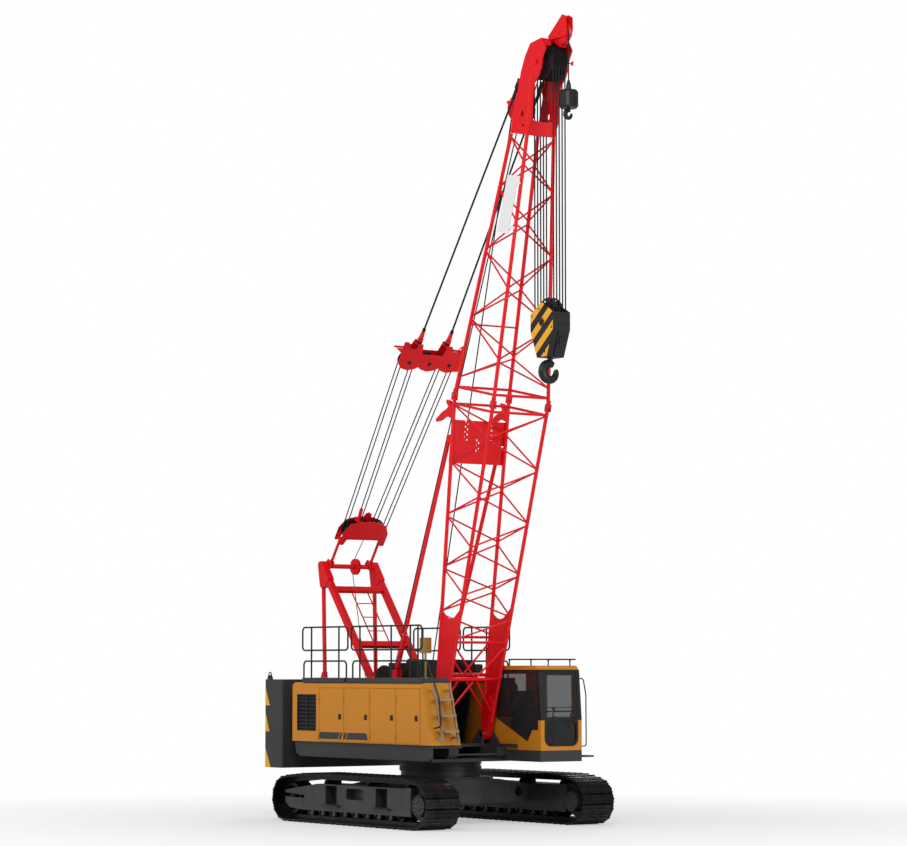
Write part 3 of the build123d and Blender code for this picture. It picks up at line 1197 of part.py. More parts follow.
def chord_cut(low, high, side):
    """The room of one rear chord between two stations, with the weld gap."""
    start, end = Vector(*chord_point(low, 1, side)), Vector(*chord_point(high, 1, side))
    run_on = (end - start).normalized() * 200
    return rod(tuple(start - run_on), tuple(end + run_on), CHORD_RADIUS + WELD_GAP)


def backstop_brackets():
    """Open cheeks on the deck between which the backstops' lower eyes stand."""
    fx, fz = BACKSTOP_FOOT
    brackets = []
    for side in (-1, 1):
        y = side * BACKSTOP_Y
        for low, high in ((-62, -34), (34, 62)):
            cheek = prism([(fx - 190, DECK_TOP + SEAT_GAP), (fx + 190, DECK_TOP + SEAT_GAP), (fx + 100, fz + 60),
                           (fx - 100, fz + 60)], "xz", y + low, y + high)
            brackets.append(cheek)
    return brackets


# ---------------------------------------------------------------- hooks

def head_shaft():
    return boom_point(*HEAD_SHEAVE_AT)


MAIN_BLOCK_Z = 9433.0       # the main block's sheave shaft
MAIN_BLOCK_DROP = 658.0     # from that shaft to the block's lower edge
BLOCK_HALF_WIDTH = 200.0


def hook_block():
    """The main block: two cheeks, folded end plates, a pierced rope guard and the cross-head."""
    x, z = head_shaft()[0], MAIN_BLOCK_Z
    low, half = z - MAIN_BLOCK_DROP, BLOCK_HALF_WIDTH
    outline = [(x - 350, z + 175), (x - 100, z + 300), (x + 100, z + 300), (x + 350, z + 175), (x + 350, z - 150),
               (x + 152, low), (x - 152, low), (x - 350, z - 150)]
    block = None
    for faces in ((-half, -half + 24), (half - 24, half)):
        cheek = prism(outline, "xz", *faces)
        block = cheek if block is None else block + cheek
    for front in (-1, 1):
        outer, inner = front * 350, front * 338
        block += box(sorted((x + inner, x + outer)), (-half, half), (z - 152, z + 172))
        fold = [(x + outer, z - 150), (x + front * 152, low), (x + front * 138, low), (x + inner, z - 152)]
        block += prism(fold, "xz", -half, half)
        # two stiffening ledges, a rib down the fold and a small pad
        for level in (z + 120, z - 40):
            block += box(sorted((x + outer, x + front * 366)), (-half + 12, half - 12), (level - 8, level + 8))
        rib = [(x + front * 330, z - 180), (x + front * 352, z - 200), (x + front * 190, low + 30),
               (x + front * 160, low + 30)]
        block += prism(rib, "xz", -60, -44)
        block += prism([(x + front * 288, z - 290), (x + front * 312, z - 290), (x + front * 254, z - 440),
                        (x + front * 230, z - 440)], "xz", 0, 90)
    block += disc(x, z, (-half - 26, half + 26), 50)
    block += prism([(x - 153, low), (x + 153, low), (x + 190, low + 105), (x - 190, low + 105)], "xz", -half, half)
    block -= rod((x, 0, low - 60), (x, 0, low + 150), 46 + RUN_GAP)
    # the guard: two pierced crescents over the sheaves, joined by short rods and held at the top
    crescent = [(x + 342 * cos(radians(turn)), z + 130 + 342 * sin(radians(turn))) for turn in range(0, 181, 6)]
    crescent += [(x + 342 * cos(radians(turn)), z + 342 * sin(radians(turn))) for turn in range(157, 22, -5)]
    for y in (-52, 52):
        plate = prism(crescent, "xz", y - 6, y + 6)
        # direction from the shaft, distance and radius of each opening
        for turn, reach, radius in ((50, 386, 26), (75, 402, 36), (105, 402, 36), (130, 386, 26)):
            plate -= disc(x + reach * cos(radians(turn)), z + reach * sin(radians(turn)), (y - 7, y + 7), radius)
        block += plate
    block += disc(x, z + 356, (-half + 8, half - 8), 13)
    for turn in (62, 118):
        block += disc(x + 412 * cos(radians(turn)), z + 412 * sin(radians(turn)), (-52, 52), 9)
    for side in (-1, 1):
        block += prism([(x - 60, z + 290), (x + 60, z + 290), (x + 30, z + 372), (x - 30, z + 372)], "xz",
                       *sorted((side * (half - 24), side * half)))
    return block


def hook_block_sheaves():
    x, z = head_shaft()[0], MAIN_BLOCK_Z
    places = [(index - 2) * HEAD_SHEAVE_PITCH for index in range(5)]
    return [sheave((x, y, z), (0, 1, 0), SHEAVE_RADIUS, 58, 50.05) for y in places]


def hook(x, centre_z, size, top, shank_radius):
    """A forged hook set across the machine: a shank and a round bowl with its heavy back to the right."""
    # angle round the throat, radius to the section's middle, half height and half width, as shares of the size
    sections = ((112, 0.36, 0.15, 0.11), (70, 0.385, 0.20, 0.14), (20, 0.40, 0.245, 0.165), (-30, 0.385, 0.235, 0.175),
                (-80, 0.345, 0.19, 0.165), (-130, 0.32, 0.165, 0.145), (-172, 0.31, 0.145, 0.11),
                (-204, 0.32, 0.09, 0.07))
    faces = []
    for angle, reach, half_height, half_width in sections:
        turn = radians(angle)
        radial = Vector(0, -cos(turn), sin(turn))
        tangent = Vector(0, sin(turn), cos(turn))
        origin = Vector(x, 0, centre_z) + radial * (reach * size)
        faces.append(Plane(origin=origin, x_dir=radial, z_dir=tangent) * Ellipse(half_height * size, half_width * size))
    bowl = loft(faces)
    return bowl + rod((x, 0, centre_z + 0.34 * size), (x, 0, top), shank_radius)


def main_hook():
    """The main hook with the nut that hangs it on the cross-head."""
    x, low = head_shaft()[0], MAIN_BLOCK_Z - MAIN_BLOCK_DROP
    body = hook(x, low - 273.0, 420.0, low + 106, 46)
    body += rod((x, 0, low + 105.5), (x, 0, low + 150), 80)
    return body


def auxiliary_point():
    x, z = boom_point(*AUX_SHEAVE_AT)
    return x + AUX_SHEAVE_RADIUS, z


BALL_TOP, BALL_BOTTOM = 13748.0, 13405.0


def auxiliary_weight():
    """The round overhaul weight, with the rope socket on its top."""
    x = auxiliary_point()[0]
    section = [(0, BALL_BOTTOM + 30), (60, BALL_BOTTOM), (150, BALL_BOTTOM), (180, BALL_BOTTOM + 40),
               (180, BALL_TOP - 40), (150, BALL_TOP), (52, BALL_TOP), (46, BALL_TOP + 95), (20, BALL_TOP + 190),
               (0, BALL_TOP + 190)]
    weight = revolve(make_face(Polyline(*[(r, 0, h) for r, h in section], close=True)), axis=Axis.Z,
                     revolution_arc=360)
    weight = Pos(x, 0, 0) * weight
    weight -= rod((x, 0, BALL_BOTTOM - 20), (x, 0, BALL_BOTTOM + 122), 24 + RUN_GAP)
    weight -= rod((x, 0, BALL_BOTTOM + 60), (x, 0, BALL_BOTTOM + 122), 44 + RUN_GAP)
    return weight


def auxiliary_hook():
    x = auxiliary_point()[0]
    body = hook(x, BALL_BOTTOM - 118.0, 196.0, BALL_BOTTOM + 70, 24)
    body += rod((x, 0, BALL_BOTTOM + 60 + RUN_GAP), (x, 0, BALL_BOTTOM + 112), 44)
    return body


# ---------------------------------------------------------------- cab

def cab_profile(inset):
    """Side outline of the cab: a flat roof, a rounded brow and a windscreen that leans back."""
    rear, front, floor, roof = CAB_REAR + inset, CAB_FRONT - inset, CAB_FLOOR + inset, CAB_ROOF - inset
    return [(rear, floor), (front, floor), (front, CAB_BELT), (front - CAB_RAKE, roof - 110),
            (front - CAB_RAKE - 45, roof - 40), (front - CAB_RAKE - 115, roof), (rear + 60, roof), (rear, roof - 60)]


CAB_BELT, CAB_RAKE = 2000.0, 75.0


def cab_front(z):
    """The outer face of the cab's front at a height."""
    return CAB_FRONT - CAB_RAKE * max(0.0, (z - CAB_BELT) / (CAB_ROOF - 110 - CAB_BELT))


RIGHT_WINDOW = ((CAB_REAR + 130, 2924), (CAB_REAR + 130, 2040), (956, 1997), (1912, 1585), (2072, 1815),
                (CAB_FRONT - 90, 1815), (CAB_FRONT - 90, CAB_BELT), (CAB_FRONT - 90 - CAB_RAKE, 2924))
QUARTER_WINDOW = ((2215, 1830), (2280, 1830), (2280, CAB_BELT), (2240, 2500), (2215, 2500))
DOOR_X = (1180.0, 2160.0)
CAB_DOOR_Z = (1500.0, 2930.0)


def cab_shell():
    """The cab's welded shell, hollow, with its window and door openings."""
    right, left, wall = CAB_RIGHT, CAB_LEFT, CAB_WALL
    shell = prism(cab_profile(0), "xz", right, left)
    shell -= prism(cab_profile(wall), "xz", right + wall, left - wall)
    # right side: one long window with a low corner ahead of the seat
    shell -= prism(RIGHT_WINDOW, "xz", right - 1, right + wall + 1)
    # windscreen and lower front window
    shell -= box((CAB_FRONT - wall - CAB_RAKE - 10, CAB_FRONT + 1), (right + 75, left - 75), (2030, 2915))
    shell -= prism([(right + 130, 1985), (left - 130, 1985), (left - 130, 1530), (right + 130, 1530)], "yz",
                   CAB_FRONT - wall - 1, CAB_FRONT + 1, 110)
    # rear window and the doorway
    shell -= box((CAB_REAR - 1, CAB_REAR + wall + 1), (right + 120, left - 120), (2050, 2880))
    shell -= box((DOOR_X[0], DOOR_X[1]), (left - wall - 1, left + 1), CAB_DOOR_Z)
    shell -= prism(QUARTER_WINDOW, "xz", left - wall - 1, left + 1)
    shell += hinge_knuckles(DOOR_X[0] + 4, left, CAB_HINGE_Z, -40)
    return shell


def cab_glass():
    """Fixed panes: windscreen, lower front, right side, rear and the front left quarter."""
    right, left, wall = CAB_RIGHT, CAB_LEFT, CAB_WALL
    inset, thick = SEAT_GAP, 8.0
    low, high = 2030 + inset, 2915 - inset
    back = wall - 12
    screen = [(cab_front(low) - back, low), (cab_front(low) - back + thick, low),
              (cab_front(high) - back + thick, high), (cab_front(high) - back, high)]
    toe = [(right + 130 + inset, 1985 - inset), (left - 130 - inset, 1985 - inset),
           (left - 130 - inset, 1530 + inset), (right + 130 + inset, 1530 + inset)]
    panes = [prism(screen, "xz", right + 75 + inset, left - 75 - inset),
             prism(toe, "yz", CAB_FRONT - back, CAB_FRONT - back + thick, 110 - inset),
             box((CAB_REAR + 14, CAB_REAR + 14 + thick), (right + 120 + inset, left - 120 - inset),
                 (2050 + inset, 2880 - inset))]
    for outline, y in ((RIGHT_WINDOW, right + 14), (QUARTER_WINDOW, left - 14 - thick)):
        face = make_face(Polyline(*[(x, y, z) for x, z in outline], close=True))
        panes.append(extrude(offset(face, amount=-inset, kind=Kind.INTERSECTION), amount=thick, dir=(0, 1, 0)))
    return panes


def cab_door():
    """The hinged door on the left, a framed panel with a tall window."""
    left, wall = CAB_LEFT, CAB_WALL
    gap = 8.0
    x, z = (DOOR_X[0] + gap, DOOR_X[1] - gap), (CAB_DOOR_Z[0] + gap, CAB_DOOR_Z[1] - gap)
    door = box(x, (left - wall, left), z)
    door -= box((x[0] + 70, x[1] - 70), (left - wall - 1, left + 1), (2020, z[1] - 70))
    door -= box((x[0] + 70, x[1] - 70), (left - wall - 1, left - 20), (z[0] + 70, 1950))
    door += box((x[1] - 170, x[1] - 60), (left, left + 22), (1960, 1985))
    door += hinge_knuckles(DOOR_X[0] + gap / 2, left, CAB_HINGE_Z, 40)
    pane = box((x[0] + 70.3, x[1] - 70.3), (left - 26, left - 18), (2020.3, z[1] - 70.3))
    return [door], [pane]


def cab_roof_guard():
    """The rail round the front of the cab's roof, on short posts."""
    z, tube = 3158.0, 14.0
    x0, x1, y0, y1 = CAB_REAR + 570, CAB_FRONT - 130, CAB_RIGHT + 20, CAB_LEFT - 20
    rail = bent_tube([(x0, y0, z), (x1, y0, z), (x1, y1, z), (x0, y1, z)], tube, 60)
    for x in (x0 + 25, x1 - 210):
        for y in (y0, y1):
            rail += rod((x, y, CAB_ROOF + SEAT_GAP), (x, y, z), 13)
            rail += rod((x, y, z - 30), (x, y, z), 18)
    return rail


def cab_platform():
    """The black subframe that carries the cab ahead of the left deck, with its side step."""
    frame = box((CAB_REAR - 30, CAB_FRONT), (675 + SEAT_GAP, CAB_LEFT), (1215, CAB_FLOOR - SEAT_GAP))
    frame -= box((CAB_REAR + 180, CAB_FRONT - 90), (CAB_RIGHT + 90, CAB_LEFT - 90), (1214, 1370))
    frame += box((950, CAB_FRONT - 40), (CAB_LEFT, CAB_LEFT + 325), (1290, 1325))
    return frame


def cab_grab_rail():
    """The tall grab rail at the door's front edge."""
    x, y = CAB_FRONT - 100, CAB_LEFT
    return bent_tube([(x, y + SEAT_GAP, 2790), (x, y + 115, 2790), (x, y + 180, 2480), (x, y + 185, 1500),
                      (x, y + SEAT_GAP, 1500)], 12, 50)


def operator_seat():
    """Seat, back and armrests on a sprung box."""
    y = (CAB_RIGHT + CAB_LEFT) / 2
    base = box((1180, 1560), (y - 180, y + 180), (CAB_FLOOR + CAB_WALL + SEAT_GAP, 1760))
    seat = box((1120, 1640), (y - 250, y + 250), (1760, 1890))
    seat = fillet(seat.edges().filter_by(Axis.Y), 45)
    back = prism([(1130, 1860), (1250, 1880), (1150, 2560), (1040, 2540)], "xz", y - 240, y + 240, 40)
    return base + seat + back


def cab_console():
    """Two side consoles with control levers and a dash pillar."""
    y = (CAB_RIGHT + CAB_LEFT) / 2
    floor = CAB_FLOOR + CAB_WALL + SEAT_GAP
    parts = []
    for side in (-1, 1):
        inner, outer = y + side * 275, y + side * 385
        pod = prism([(1240, floor), (1700, floor), (1760, 2010), (1700, 2060), (1240, 1990)], "xz",
                    *sorted((inner, outer)))
        pod += rod((1640, y + side * 330, 2020), (1670, y + side * 330, 2190), 12)
        pod += Pos(1672, y + side * 330, 2200) * Sphere(28)
        parts.append(pod)
    parts.append(prism([(2100, floor), (2200, floor), (2230, 1980), (2120, 2020)], "xz", y - 60, y + 300))
    return parts


def roof_boxes():
    """The flat air cleaner housing on the left hood, on two feet."""
    cleaner = box((-827, -126), (850, 1110), (2868, 3070))
    cleaner = fillet(cleaner.edges().filter_by(Axis.X), 45)
    for x in (-700, -250):
        cleaner += box((x - 40, x + 40), (900, 1060), (WALKWAY_TOP + SEAT_GAP, 2880))
    return [cleaner]


def boom_pins():
    return boom_foot_pins() + section_pins()


def rails():
    """Railings of both walkways and the grab tube by the ladder."""
    return handrail(-1) + handrail(1) + [ladder_handrail()]


def lower_hoist_sheaves():
    return hoist_sheaves(LOWER_BLOCK_REACH, LOWER_SHEAVES_Y, 34.05)


def upper_hoist_sheaves():
    return hoist_sheaves(UPPER_BLOCK_REACH - 90, UPPER_SHEAVES_Y, 34.05)


NODES = {
    "carbody": lambda: [carbody()],
    "side_frames": lambda: [side_frame(1), side_frame(-1)],
    "track_right": lambda: [track(-1)],
    "track_left": lambda: [track(1)],
    "drive_sprockets": lambda: [drive_sprocket(1), drive_sprocket(-1)],
    "idler_wheels": lambda: [idler_wheel(1), idler_wheel(-1)],
    "track_rollers": lambda: track_rollers(1) + track_rollers(-1),
    "slewing_ring": lambda: [slewing_ring()],
    "upper_frame": lambda: [upper_frame()],
    "deck_brackets": lambda: gantry_feet() + backstop_brackets(),
    "counterweight": lambda: [counterweight(level) for level in range(3)],
    "hood_right": lambda: [hood_right()],
    "hood_left": lambda: [hood_left()],
    "louvres": lambda: [louvres(1), louvres(-1)],
    "engine_block": lambda: [engine_block()],
    "walkways": walkways,
    "handrails": rails,
    "access_ladder": lambda: [access_ladder()],
    "work_lamp": work_lamp,
    "air_cleaner": roof_boxes,
    "winch_stands": winch_stands,
    "gantry": lambda: [gantry_legs(), gantry_sheave()],
    "lower_hoist_block": lambda: [lower_hoist_block()],
    "lower_hoist_sheaves": lower_hoist_sheaves,
    "upper_hoist_block": lambda: [upper_hoist_block()],
    "upper_hoist_sheaves": upper_hoist_sheaves,
    "pendants": pendants,
    "boom_base": boom_base,
    "boom_top": boom_top,
    "boom_pins": boom_pins,
    "boom_head": lambda: [boom_head()],
    "head_sheaves": head_sheaves,
    "auxiliary_tip": lambda: [auxiliary_tip(), auxiliary_sheave()],
    "rope_guard": lambda: [rope_guard()],
    "name_board": lambda: [name_board()],
    "backstop_lugs": backstop_lugs,
    "backstop_tubes": backstop_tubes,
    "backstop_rods": backstop_rods,
    "hook_block": lambda: [hook_block()],
    "hook_block_sheaves": hook_block_sheaves,
    "main_hook": lambda: [main_hook()],
    "auxiliary_weight": lambda: [auxiliary_weight()],
    "auxiliary_hook": lambda: [auxiliary_hook()],
    "cab_shell": lambda: [cab_shell()],
    "cab_glass": cab_glass,
    "cab_door": lambda: cab_door()[0],
    "cab_door_glass": lambda: cab_door()[1],
    "cab_rails": lambda: [cab_roof_guard(), cab_grab_rail()],
    "cab_platform": lambda: [cab_platform()],
    "cab_interior": lambda: [operator_seat()] + cab_console(),
}
for name, x, z, drum_radius, flange_radius, half_width in WINCHES:
    NODES[name] = lambda x=x, z=z, r=drum_radius, f=flange_radius, w=half_width: [winch(x, z, r, f, w, "drum")]
for side_word, side, edges in (("right", -1, RIGHT_DOOR_EDGES), ("left", 1, LEFT_DOOR_EDGES)):
    for index in range(len(edges) - 1):
        NODES[f"hood_door_{side_word}_{index + 1}"] = lambda index=index, side=side: [hood_door(index, side)]

os.makedirs("parts", exist_ok=True)
for name, make in NODES.items():
    solids = [solid for piece in make() for solid in piece.solids()]
    shape = solids[0] if len(solids) == 1 else Compound(children=solids)
    export_step(shape, f"parts/{name}.step")
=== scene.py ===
import json
from math import atan2, cos, hypot, pi, radians, sin

import bmesh
import bpy
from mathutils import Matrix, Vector
from mathutils.bvhtree import BVHTree


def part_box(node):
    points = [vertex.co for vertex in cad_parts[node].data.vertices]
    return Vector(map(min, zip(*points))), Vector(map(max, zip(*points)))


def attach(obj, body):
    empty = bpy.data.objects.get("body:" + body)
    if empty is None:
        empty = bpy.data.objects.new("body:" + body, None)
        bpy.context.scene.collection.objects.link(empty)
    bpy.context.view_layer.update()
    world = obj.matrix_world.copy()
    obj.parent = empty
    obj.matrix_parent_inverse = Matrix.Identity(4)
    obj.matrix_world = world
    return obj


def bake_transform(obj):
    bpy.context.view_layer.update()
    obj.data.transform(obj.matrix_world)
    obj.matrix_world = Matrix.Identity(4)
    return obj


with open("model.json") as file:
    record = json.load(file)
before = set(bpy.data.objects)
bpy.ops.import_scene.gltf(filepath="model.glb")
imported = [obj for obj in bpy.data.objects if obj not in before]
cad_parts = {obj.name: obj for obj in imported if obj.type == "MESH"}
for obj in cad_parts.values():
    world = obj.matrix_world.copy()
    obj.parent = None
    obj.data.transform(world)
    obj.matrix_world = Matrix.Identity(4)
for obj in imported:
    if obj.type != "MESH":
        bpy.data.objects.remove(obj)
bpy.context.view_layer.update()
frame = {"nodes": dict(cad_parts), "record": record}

# Camera, floor and light.  A long lens about three metres up looks at the machine from its right front.  The
# floor is a pale sheet, and soft lamps light the machine from above, from both sides and from behind.
camera_data = bpy.data.cameras.new("camera")
camera_data.lens = 119.07
camera_data.sensor_width = 36.0
camera_data.clip_end = 400.0
camera = bpy.data.objects.new("camera", camera_data)
bpy.context.scene.collection.objects.link(camera)
camera_tilt, camera_turn = 4.69, 54.795    # degrees above level and round the vertical
camera.location = (48.14, -33.654, 2.972)
camera.rotation_euler = (radians(90 + camera_tilt), 0.0, radians(camera_turn))
bpy.context.scene.camera = camera
bpy.context.scene.view_settings.view_transform = "Standard"


def add_node(tree, kind, values=(), **settings):
    """A new node with its own settings and with values on its inputs."""
    node = tree.nodes.new(kind)
    for label, value in settings.items():
        setattr(node, label, value)
    for label, value in dict(values).items():
        node.inputs[label].default_value = value
    return node


def wire(tree, pairs):
    for source, target in pairs:
        tree.links.new(source, target)


# Camera rays see a white world and a floor that whitens with distance, so that the shadows at the machine stay;
# transmission rays see the white world too.  None of it adds light to the machine.
white = (1.0, 1.0, 1.0, 1.0)
world = bpy.data.worlds.new("studio")
bpy.context.scene.world = world
world.use_nodes = True
sky = world.node_tree
sky.nodes.clear()
world_out = add_node(sky, "ShaderNodeOutputWorld")
studio_light = add_node(sky, "ShaderNodeBackground", {"Color": white, "Strength": 0.34})
backdrop_light = add_node(sky, "ShaderNodeBackground", {"Color": white, "Strength": 1.0})
ray = add_node(sky, "ShaderNodeLightPath")
seen = add_node(sky, "ShaderNodeMath", operation="MAXIMUM")
world_mix = add_node(sky, "ShaderNodeMixShader")
wire(sky, ((ray.outputs["Is Camera Ray"], seen.inputs[0]), (ray.outputs["Is Transmission Ray"], seen.inputs[1]),
           (seen.outputs[0], world_mix.inputs[0]), (studio_light.outputs[0], world_mix.inputs[1]),
           (backdrop_light.outputs[0], world_mix.inputs[2]), (world_mix.outputs[0], world_out.inputs[0])))

floor_mesh = bpy.data.meshes.new("floor")
floor_mesh.from_pydata([(-150, -150, 0), (150, -150, 0), (150, 150, 0), (-150, 150, 0)], [], [(0, 1, 2, 3)])
floor = bpy.data.objects.new("floor", floor_mesh)
bpy.context.scene.collection.objects.link(floor)
floor_finish = bpy.data.materials.new("floor")
floor_finish.use_nodes = True
floor_tree = floor_finish.node_tree
floor_shader = floor_tree.nodes["Principled BSDF"]
for label, value in (("Base Color", (0.86, 0.86, 0.86, 1.0)), ("Roughness", 0.85), ("Specular IOR Level", 0.1)):
    floor_shader.inputs[label].default_value = value
floor_glow = add_node(floor_tree, "ShaderNodeEmission", {"Color": white, "Strength": 1.0})
floor_ray = add_node(floor_tree, "ShaderNodeLightPath")
far = add_node(floor_tree, "ShaderNodeTexCoord")
reach = add_node(floor_tree, "ShaderNodeVectorMath", operation="LENGTH")
fade = add_node(floor_tree, "ShaderNodeMapRange", {"From Min": 4.0, "From Max": 15.0, "To Min": 0.45, "To Max": 1.0})
share = add_node(floor_tree, "ShaderNodeMath", operation="MULTIPLY")
floor_mix = add_node(floor_tree, "ShaderNodeMixShader")
wire(floor_tree, (
    (far.outputs["Object"], reach.inputs[0]), (reach.outputs["Value"], fade.inputs["Value"]),
    (floor_ray.outputs["Is Camera Ray"], share.inputs[0]), (fade.outputs["Result"], share.inputs[1]),
    (share.outputs[0], floor_mix.inputs[0]), (floor_shader.outputs[0], floor_mix.inputs[1]),
    (floor_glow.outputs[0], floor_mix.inputs[2]),
    (floor_mix.outputs[0], floor_tree.nodes["Material Output"].inputs["Surface"])))
floor_mesh.materials.append(floor_finish)

# name, place, point it looks at, width in metres, power in watts
for name, place, aim, width, power in (
        ("key_lamp", (16.0, -14.0, 20.0), (0.0, 0.0, 5.0), 12.0, 2600.0),
        ("side_lamp", (-6.0, -22.0, 11.0), (-1.0, 0.0, 3.0), 10.0, 1500.0),
        ("front_lamp", (24.0, 6.0, 8.0), (1.0, 0.0, 4.0), 8.0, 1300.0),
        ("back_lamp", (-16.0, 14.0, 16.0), (0.0, 0.0, 5.0), 10.0, 1500.0)):
    lamp_data = bpy.data.lights.new(name, "AREA")
    lamp_data.size = width
    lamp_data.energy = power
    lamp = bpy.data.objects.new(name, lamp_data)
    bpy.context.scene.collection.objects.link(lamp)
    lamp.location = place
    lamp.rotation_euler = (Vector(aim) - Vector(place)).to_track_quat("-Z", "Y").to_euler()


# Paint and metal finishes.  The machine wears gloss enamel over primer, bare steel where ropes and rods run,
# and dull cast steel in the tracks; each has its own unevenness, fine orange peel and dust that thins upwards.
def painted(name, colour, roughness, metallic=0.0, dust=0.25, dust_top=1.6, grain=260.0, relief=0.05, coat=0.25,
            shade=0.86):
    """A finish in the object's own space.  dust_top is the height in metres where the dust has thinned out, grain
    and relief are the fine skin's scale and strength, and shade is how dark its cloudy tone goes."""
    finish = bpy.data.materials.new(name)
    finish.use_nodes = True
    tree = finish.node_tree
    shader = tree.nodes["Principled BSDF"]
    place = add_node(tree, "ShaderNodeTexCoord")
    cloud = add_node(tree, "ShaderNodeTexNoise", {"Scale": 0.9, "Detail": 6.0, "Roughness": 0.62})
    tone = add_node(tree, "ShaderNodeMix", {"A": (*[c * shade for c in colour], 1.0), "B": (*colour, 1.0)},
                    data_type="RGBA")
    # dust: patchy, heaviest near the ground
    height = add_node(tree, "ShaderNodeSeparateXYZ")
    low = add_node(tree, "ShaderNodeMapRange", {"From Min": 0.0, "From Max": dust_top, "To Min": dust,
                                                "To Max": dust * 0.12})
    patch = add_node(tree, "ShaderNodeTexNoise", {"Scale": 4.5, "Detail": 8.0, "Roughness": 0.7})
    spread = add_node(tree, "ShaderNodeMapRange", {"From Min": 0.42, "From Max": 0.72})
    amount = add_node(tree, "ShaderNodeMath", operation="MULTIPLY")
    soiled = add_node(tree, "ShaderNodeMix", {"B": (0.23, 0.20, 0.165, 1.0)}, data_type="RGBA")
    polish = add_node(tree, "ShaderNodeMapRange", {"To Min": roughness * 0.82, "To Max": min(1.0, roughness * 1.3)})
    skin = add_node(tree, "ShaderNodeTexNoise", {"Scale": grain, "Detail": 2.0})
    bump = add_node(tree, "ShaderNodeBump", {"Strength": relief, "Distance": 0.002})
    spot = place.outputs["Object"]
    wire(tree, (
        (spot, cloud.inputs["Vector"]), (cloud.outputs["Fac"], tone.inputs["Factor"]), (spot, height.inputs[0]),
        (height.outputs["Z"], low.inputs["Value"]), (spot, patch.inputs["Vector"]),
        (patch.outputs["Fac"], spread.inputs["Value"]), (low.outputs["Result"], amount.inputs[0]),
        (spread.outputs["Result"], amount.inputs[1]), (amount.outputs[0], soiled.inputs["Factor"]),
        (tone.outputs["Result"], soiled.inputs["A"]), (soiled.outputs["Result"], shader.inputs["Base Color"]),
        (patch.outputs["Fac"], polish.inputs["Value"]), (polish.outputs["Result"], shader.inputs["Roughness"]),
        (spot, skin.inputs["Vector"]), (skin.outputs["Fac"], bump.inputs["Height"]),
        (bump.outputs["Normal"], shader.inputs["Normal"])))
    shader.inputs["Metallic"].default_value = metallic
    shader.inputs["Specular IOR Level"].default_value = 0.30
    shader.inputs["Coat Weight"].default_value = coat
    shader.inputs["Coat Roughness"].default_value = 0.18
    return finish


finishes = {
    "red_paint": painted("red_paint", (0.80, 0.0008, 0.006), 0.42, coat=0.06, dust=0.04, shade=0.86),
    "amber_paint": painted("amber_paint", (0.62, 0.235, 0.012), 0.42, coat=0.12, dust=0.12, shade=0.90),
    "dark_grey_paint": painted("dark_grey_paint", (0.040, 0.041, 0.044), 0.50, coat=0.08, dust=0.16),
    "black_paint": painted("black_paint", (0.010, 0.010, 0.011), 0.42, coat=0.10, dust=0.10),
    "track_steel": painted("track_steel", (0.014, 0.014, 0.015), 0.27, metallic=0.75, dust=0.16, dust_top=0.9,
                           grain=70.0, relief=0.45, coat=0.1, shade=0.6),
    "undercarriage_paint": painted("undercarriage_paint", (0.024, 0.025, 0.027), 0.42, dust=0.20, dust_top=1.0),
    "galvanised_steel": painted("galvanised_steel", (0.30, 0.27, 0.20), 0.45, metallic=0.3, dust=0.12, dust_top=3.0,
                                grain=140.0, relief=0.2, coat=0.0),
    "bright_steel": painted("bright_steel", (0.55, 0.55, 0.56), 0.18, metallic=1.0, dust=0.05, dust_top=2.0,
                            grain=400.0, relief=0.03, coat=0.0),
    "sheave_steel": painted("sheave_steel", (0.022, 0.022, 0.024), 0.42, metallic=0.5, dust=0.2, dust_top=3.0,
                            grain=120.0, relief=0.2, coat=0.0),
    "wire_rope": painted("wire_rope", (0.022, 0.022, 0.024), 0.5, metallic=0.6, dust=0.1, dust_top=3.0, grain=500.0,
                         relief=0.3, coat=0.0),
    "black_plastic": painted("black_plastic", (0.014, 0.014, 0.016), 0.62, dust=0.1, dust_top=3.0, grain=500.0,
                             relief=0.35, coat=0.0),
    "warning_yellow": painted("warning_yellow", (0.84, 0.42, 0.016), 0.42, dust=0.10, shade=0.92),
    "lamp_gold": painted("lamp_gold", (0.36, 0.28, 0.07), 0.40, metallic=0.2, dust=0.08, dust_top=4.0, grain=200.0,
                         relief=0.08, coat=0.2),
    "white_board": painted("white_board", (0.82, 0.82, 0.82), 0.40, dust=0.05, dust_top=9.0, grain=200.0, relief=0.05,
                           coat=0.2, shade=0.93),
}
glass = bpy.data.materials.new("glass")
glass.use_nodes = True
glass_tree = glass.node_tree
glass_shader = glass_tree.nodes["Principled BSDF"]
glass_shader.inputs["Transmission Weight"].default_value = 0.0
glass_shader.inputs["Alpha"].default_value = 0.42
glass_place = add_node(glass_tree, "ShaderNodeTexCoord")
film = add_node(glass_tree, "ShaderNodeTexNoise", {"Scale": 2.2, "Detail": 5.0})
tint = add_node(glass_tree, "ShaderNodeMix", {"A": (0.020, 0.022, 0.023, 1.0), "B": (0.050, 0.053, 0.055, 1.0)},
                data_type="RGBA")
smear = add_node(glass_tree, "ShaderNodeMapRange", {"To Min": 0.03, "To Max": 0.12})
wire(glass_tree, (
    (glass_place.outputs["Object"], film.inputs["Vector"]), (film.outputs["Fac"], tint.inputs["Factor"]),
    (tint.outputs["Result"], glass_shader.inputs["Base Color"]), (film.outputs["Fac"], smear.inputs["Value"]),
    (smear.outputs["Result"], glass_shader.inputs["Roughness"])))
finishes["glass"] = glass

slot_of = {row["node"]: row["material_slot"] for row in frame["record"]["subparts"]}
for node, node_object in frame["nodes"].items():
    for material_slot in node_object.material_slots:
        material_slot.material = finishes[slot_of[node]]


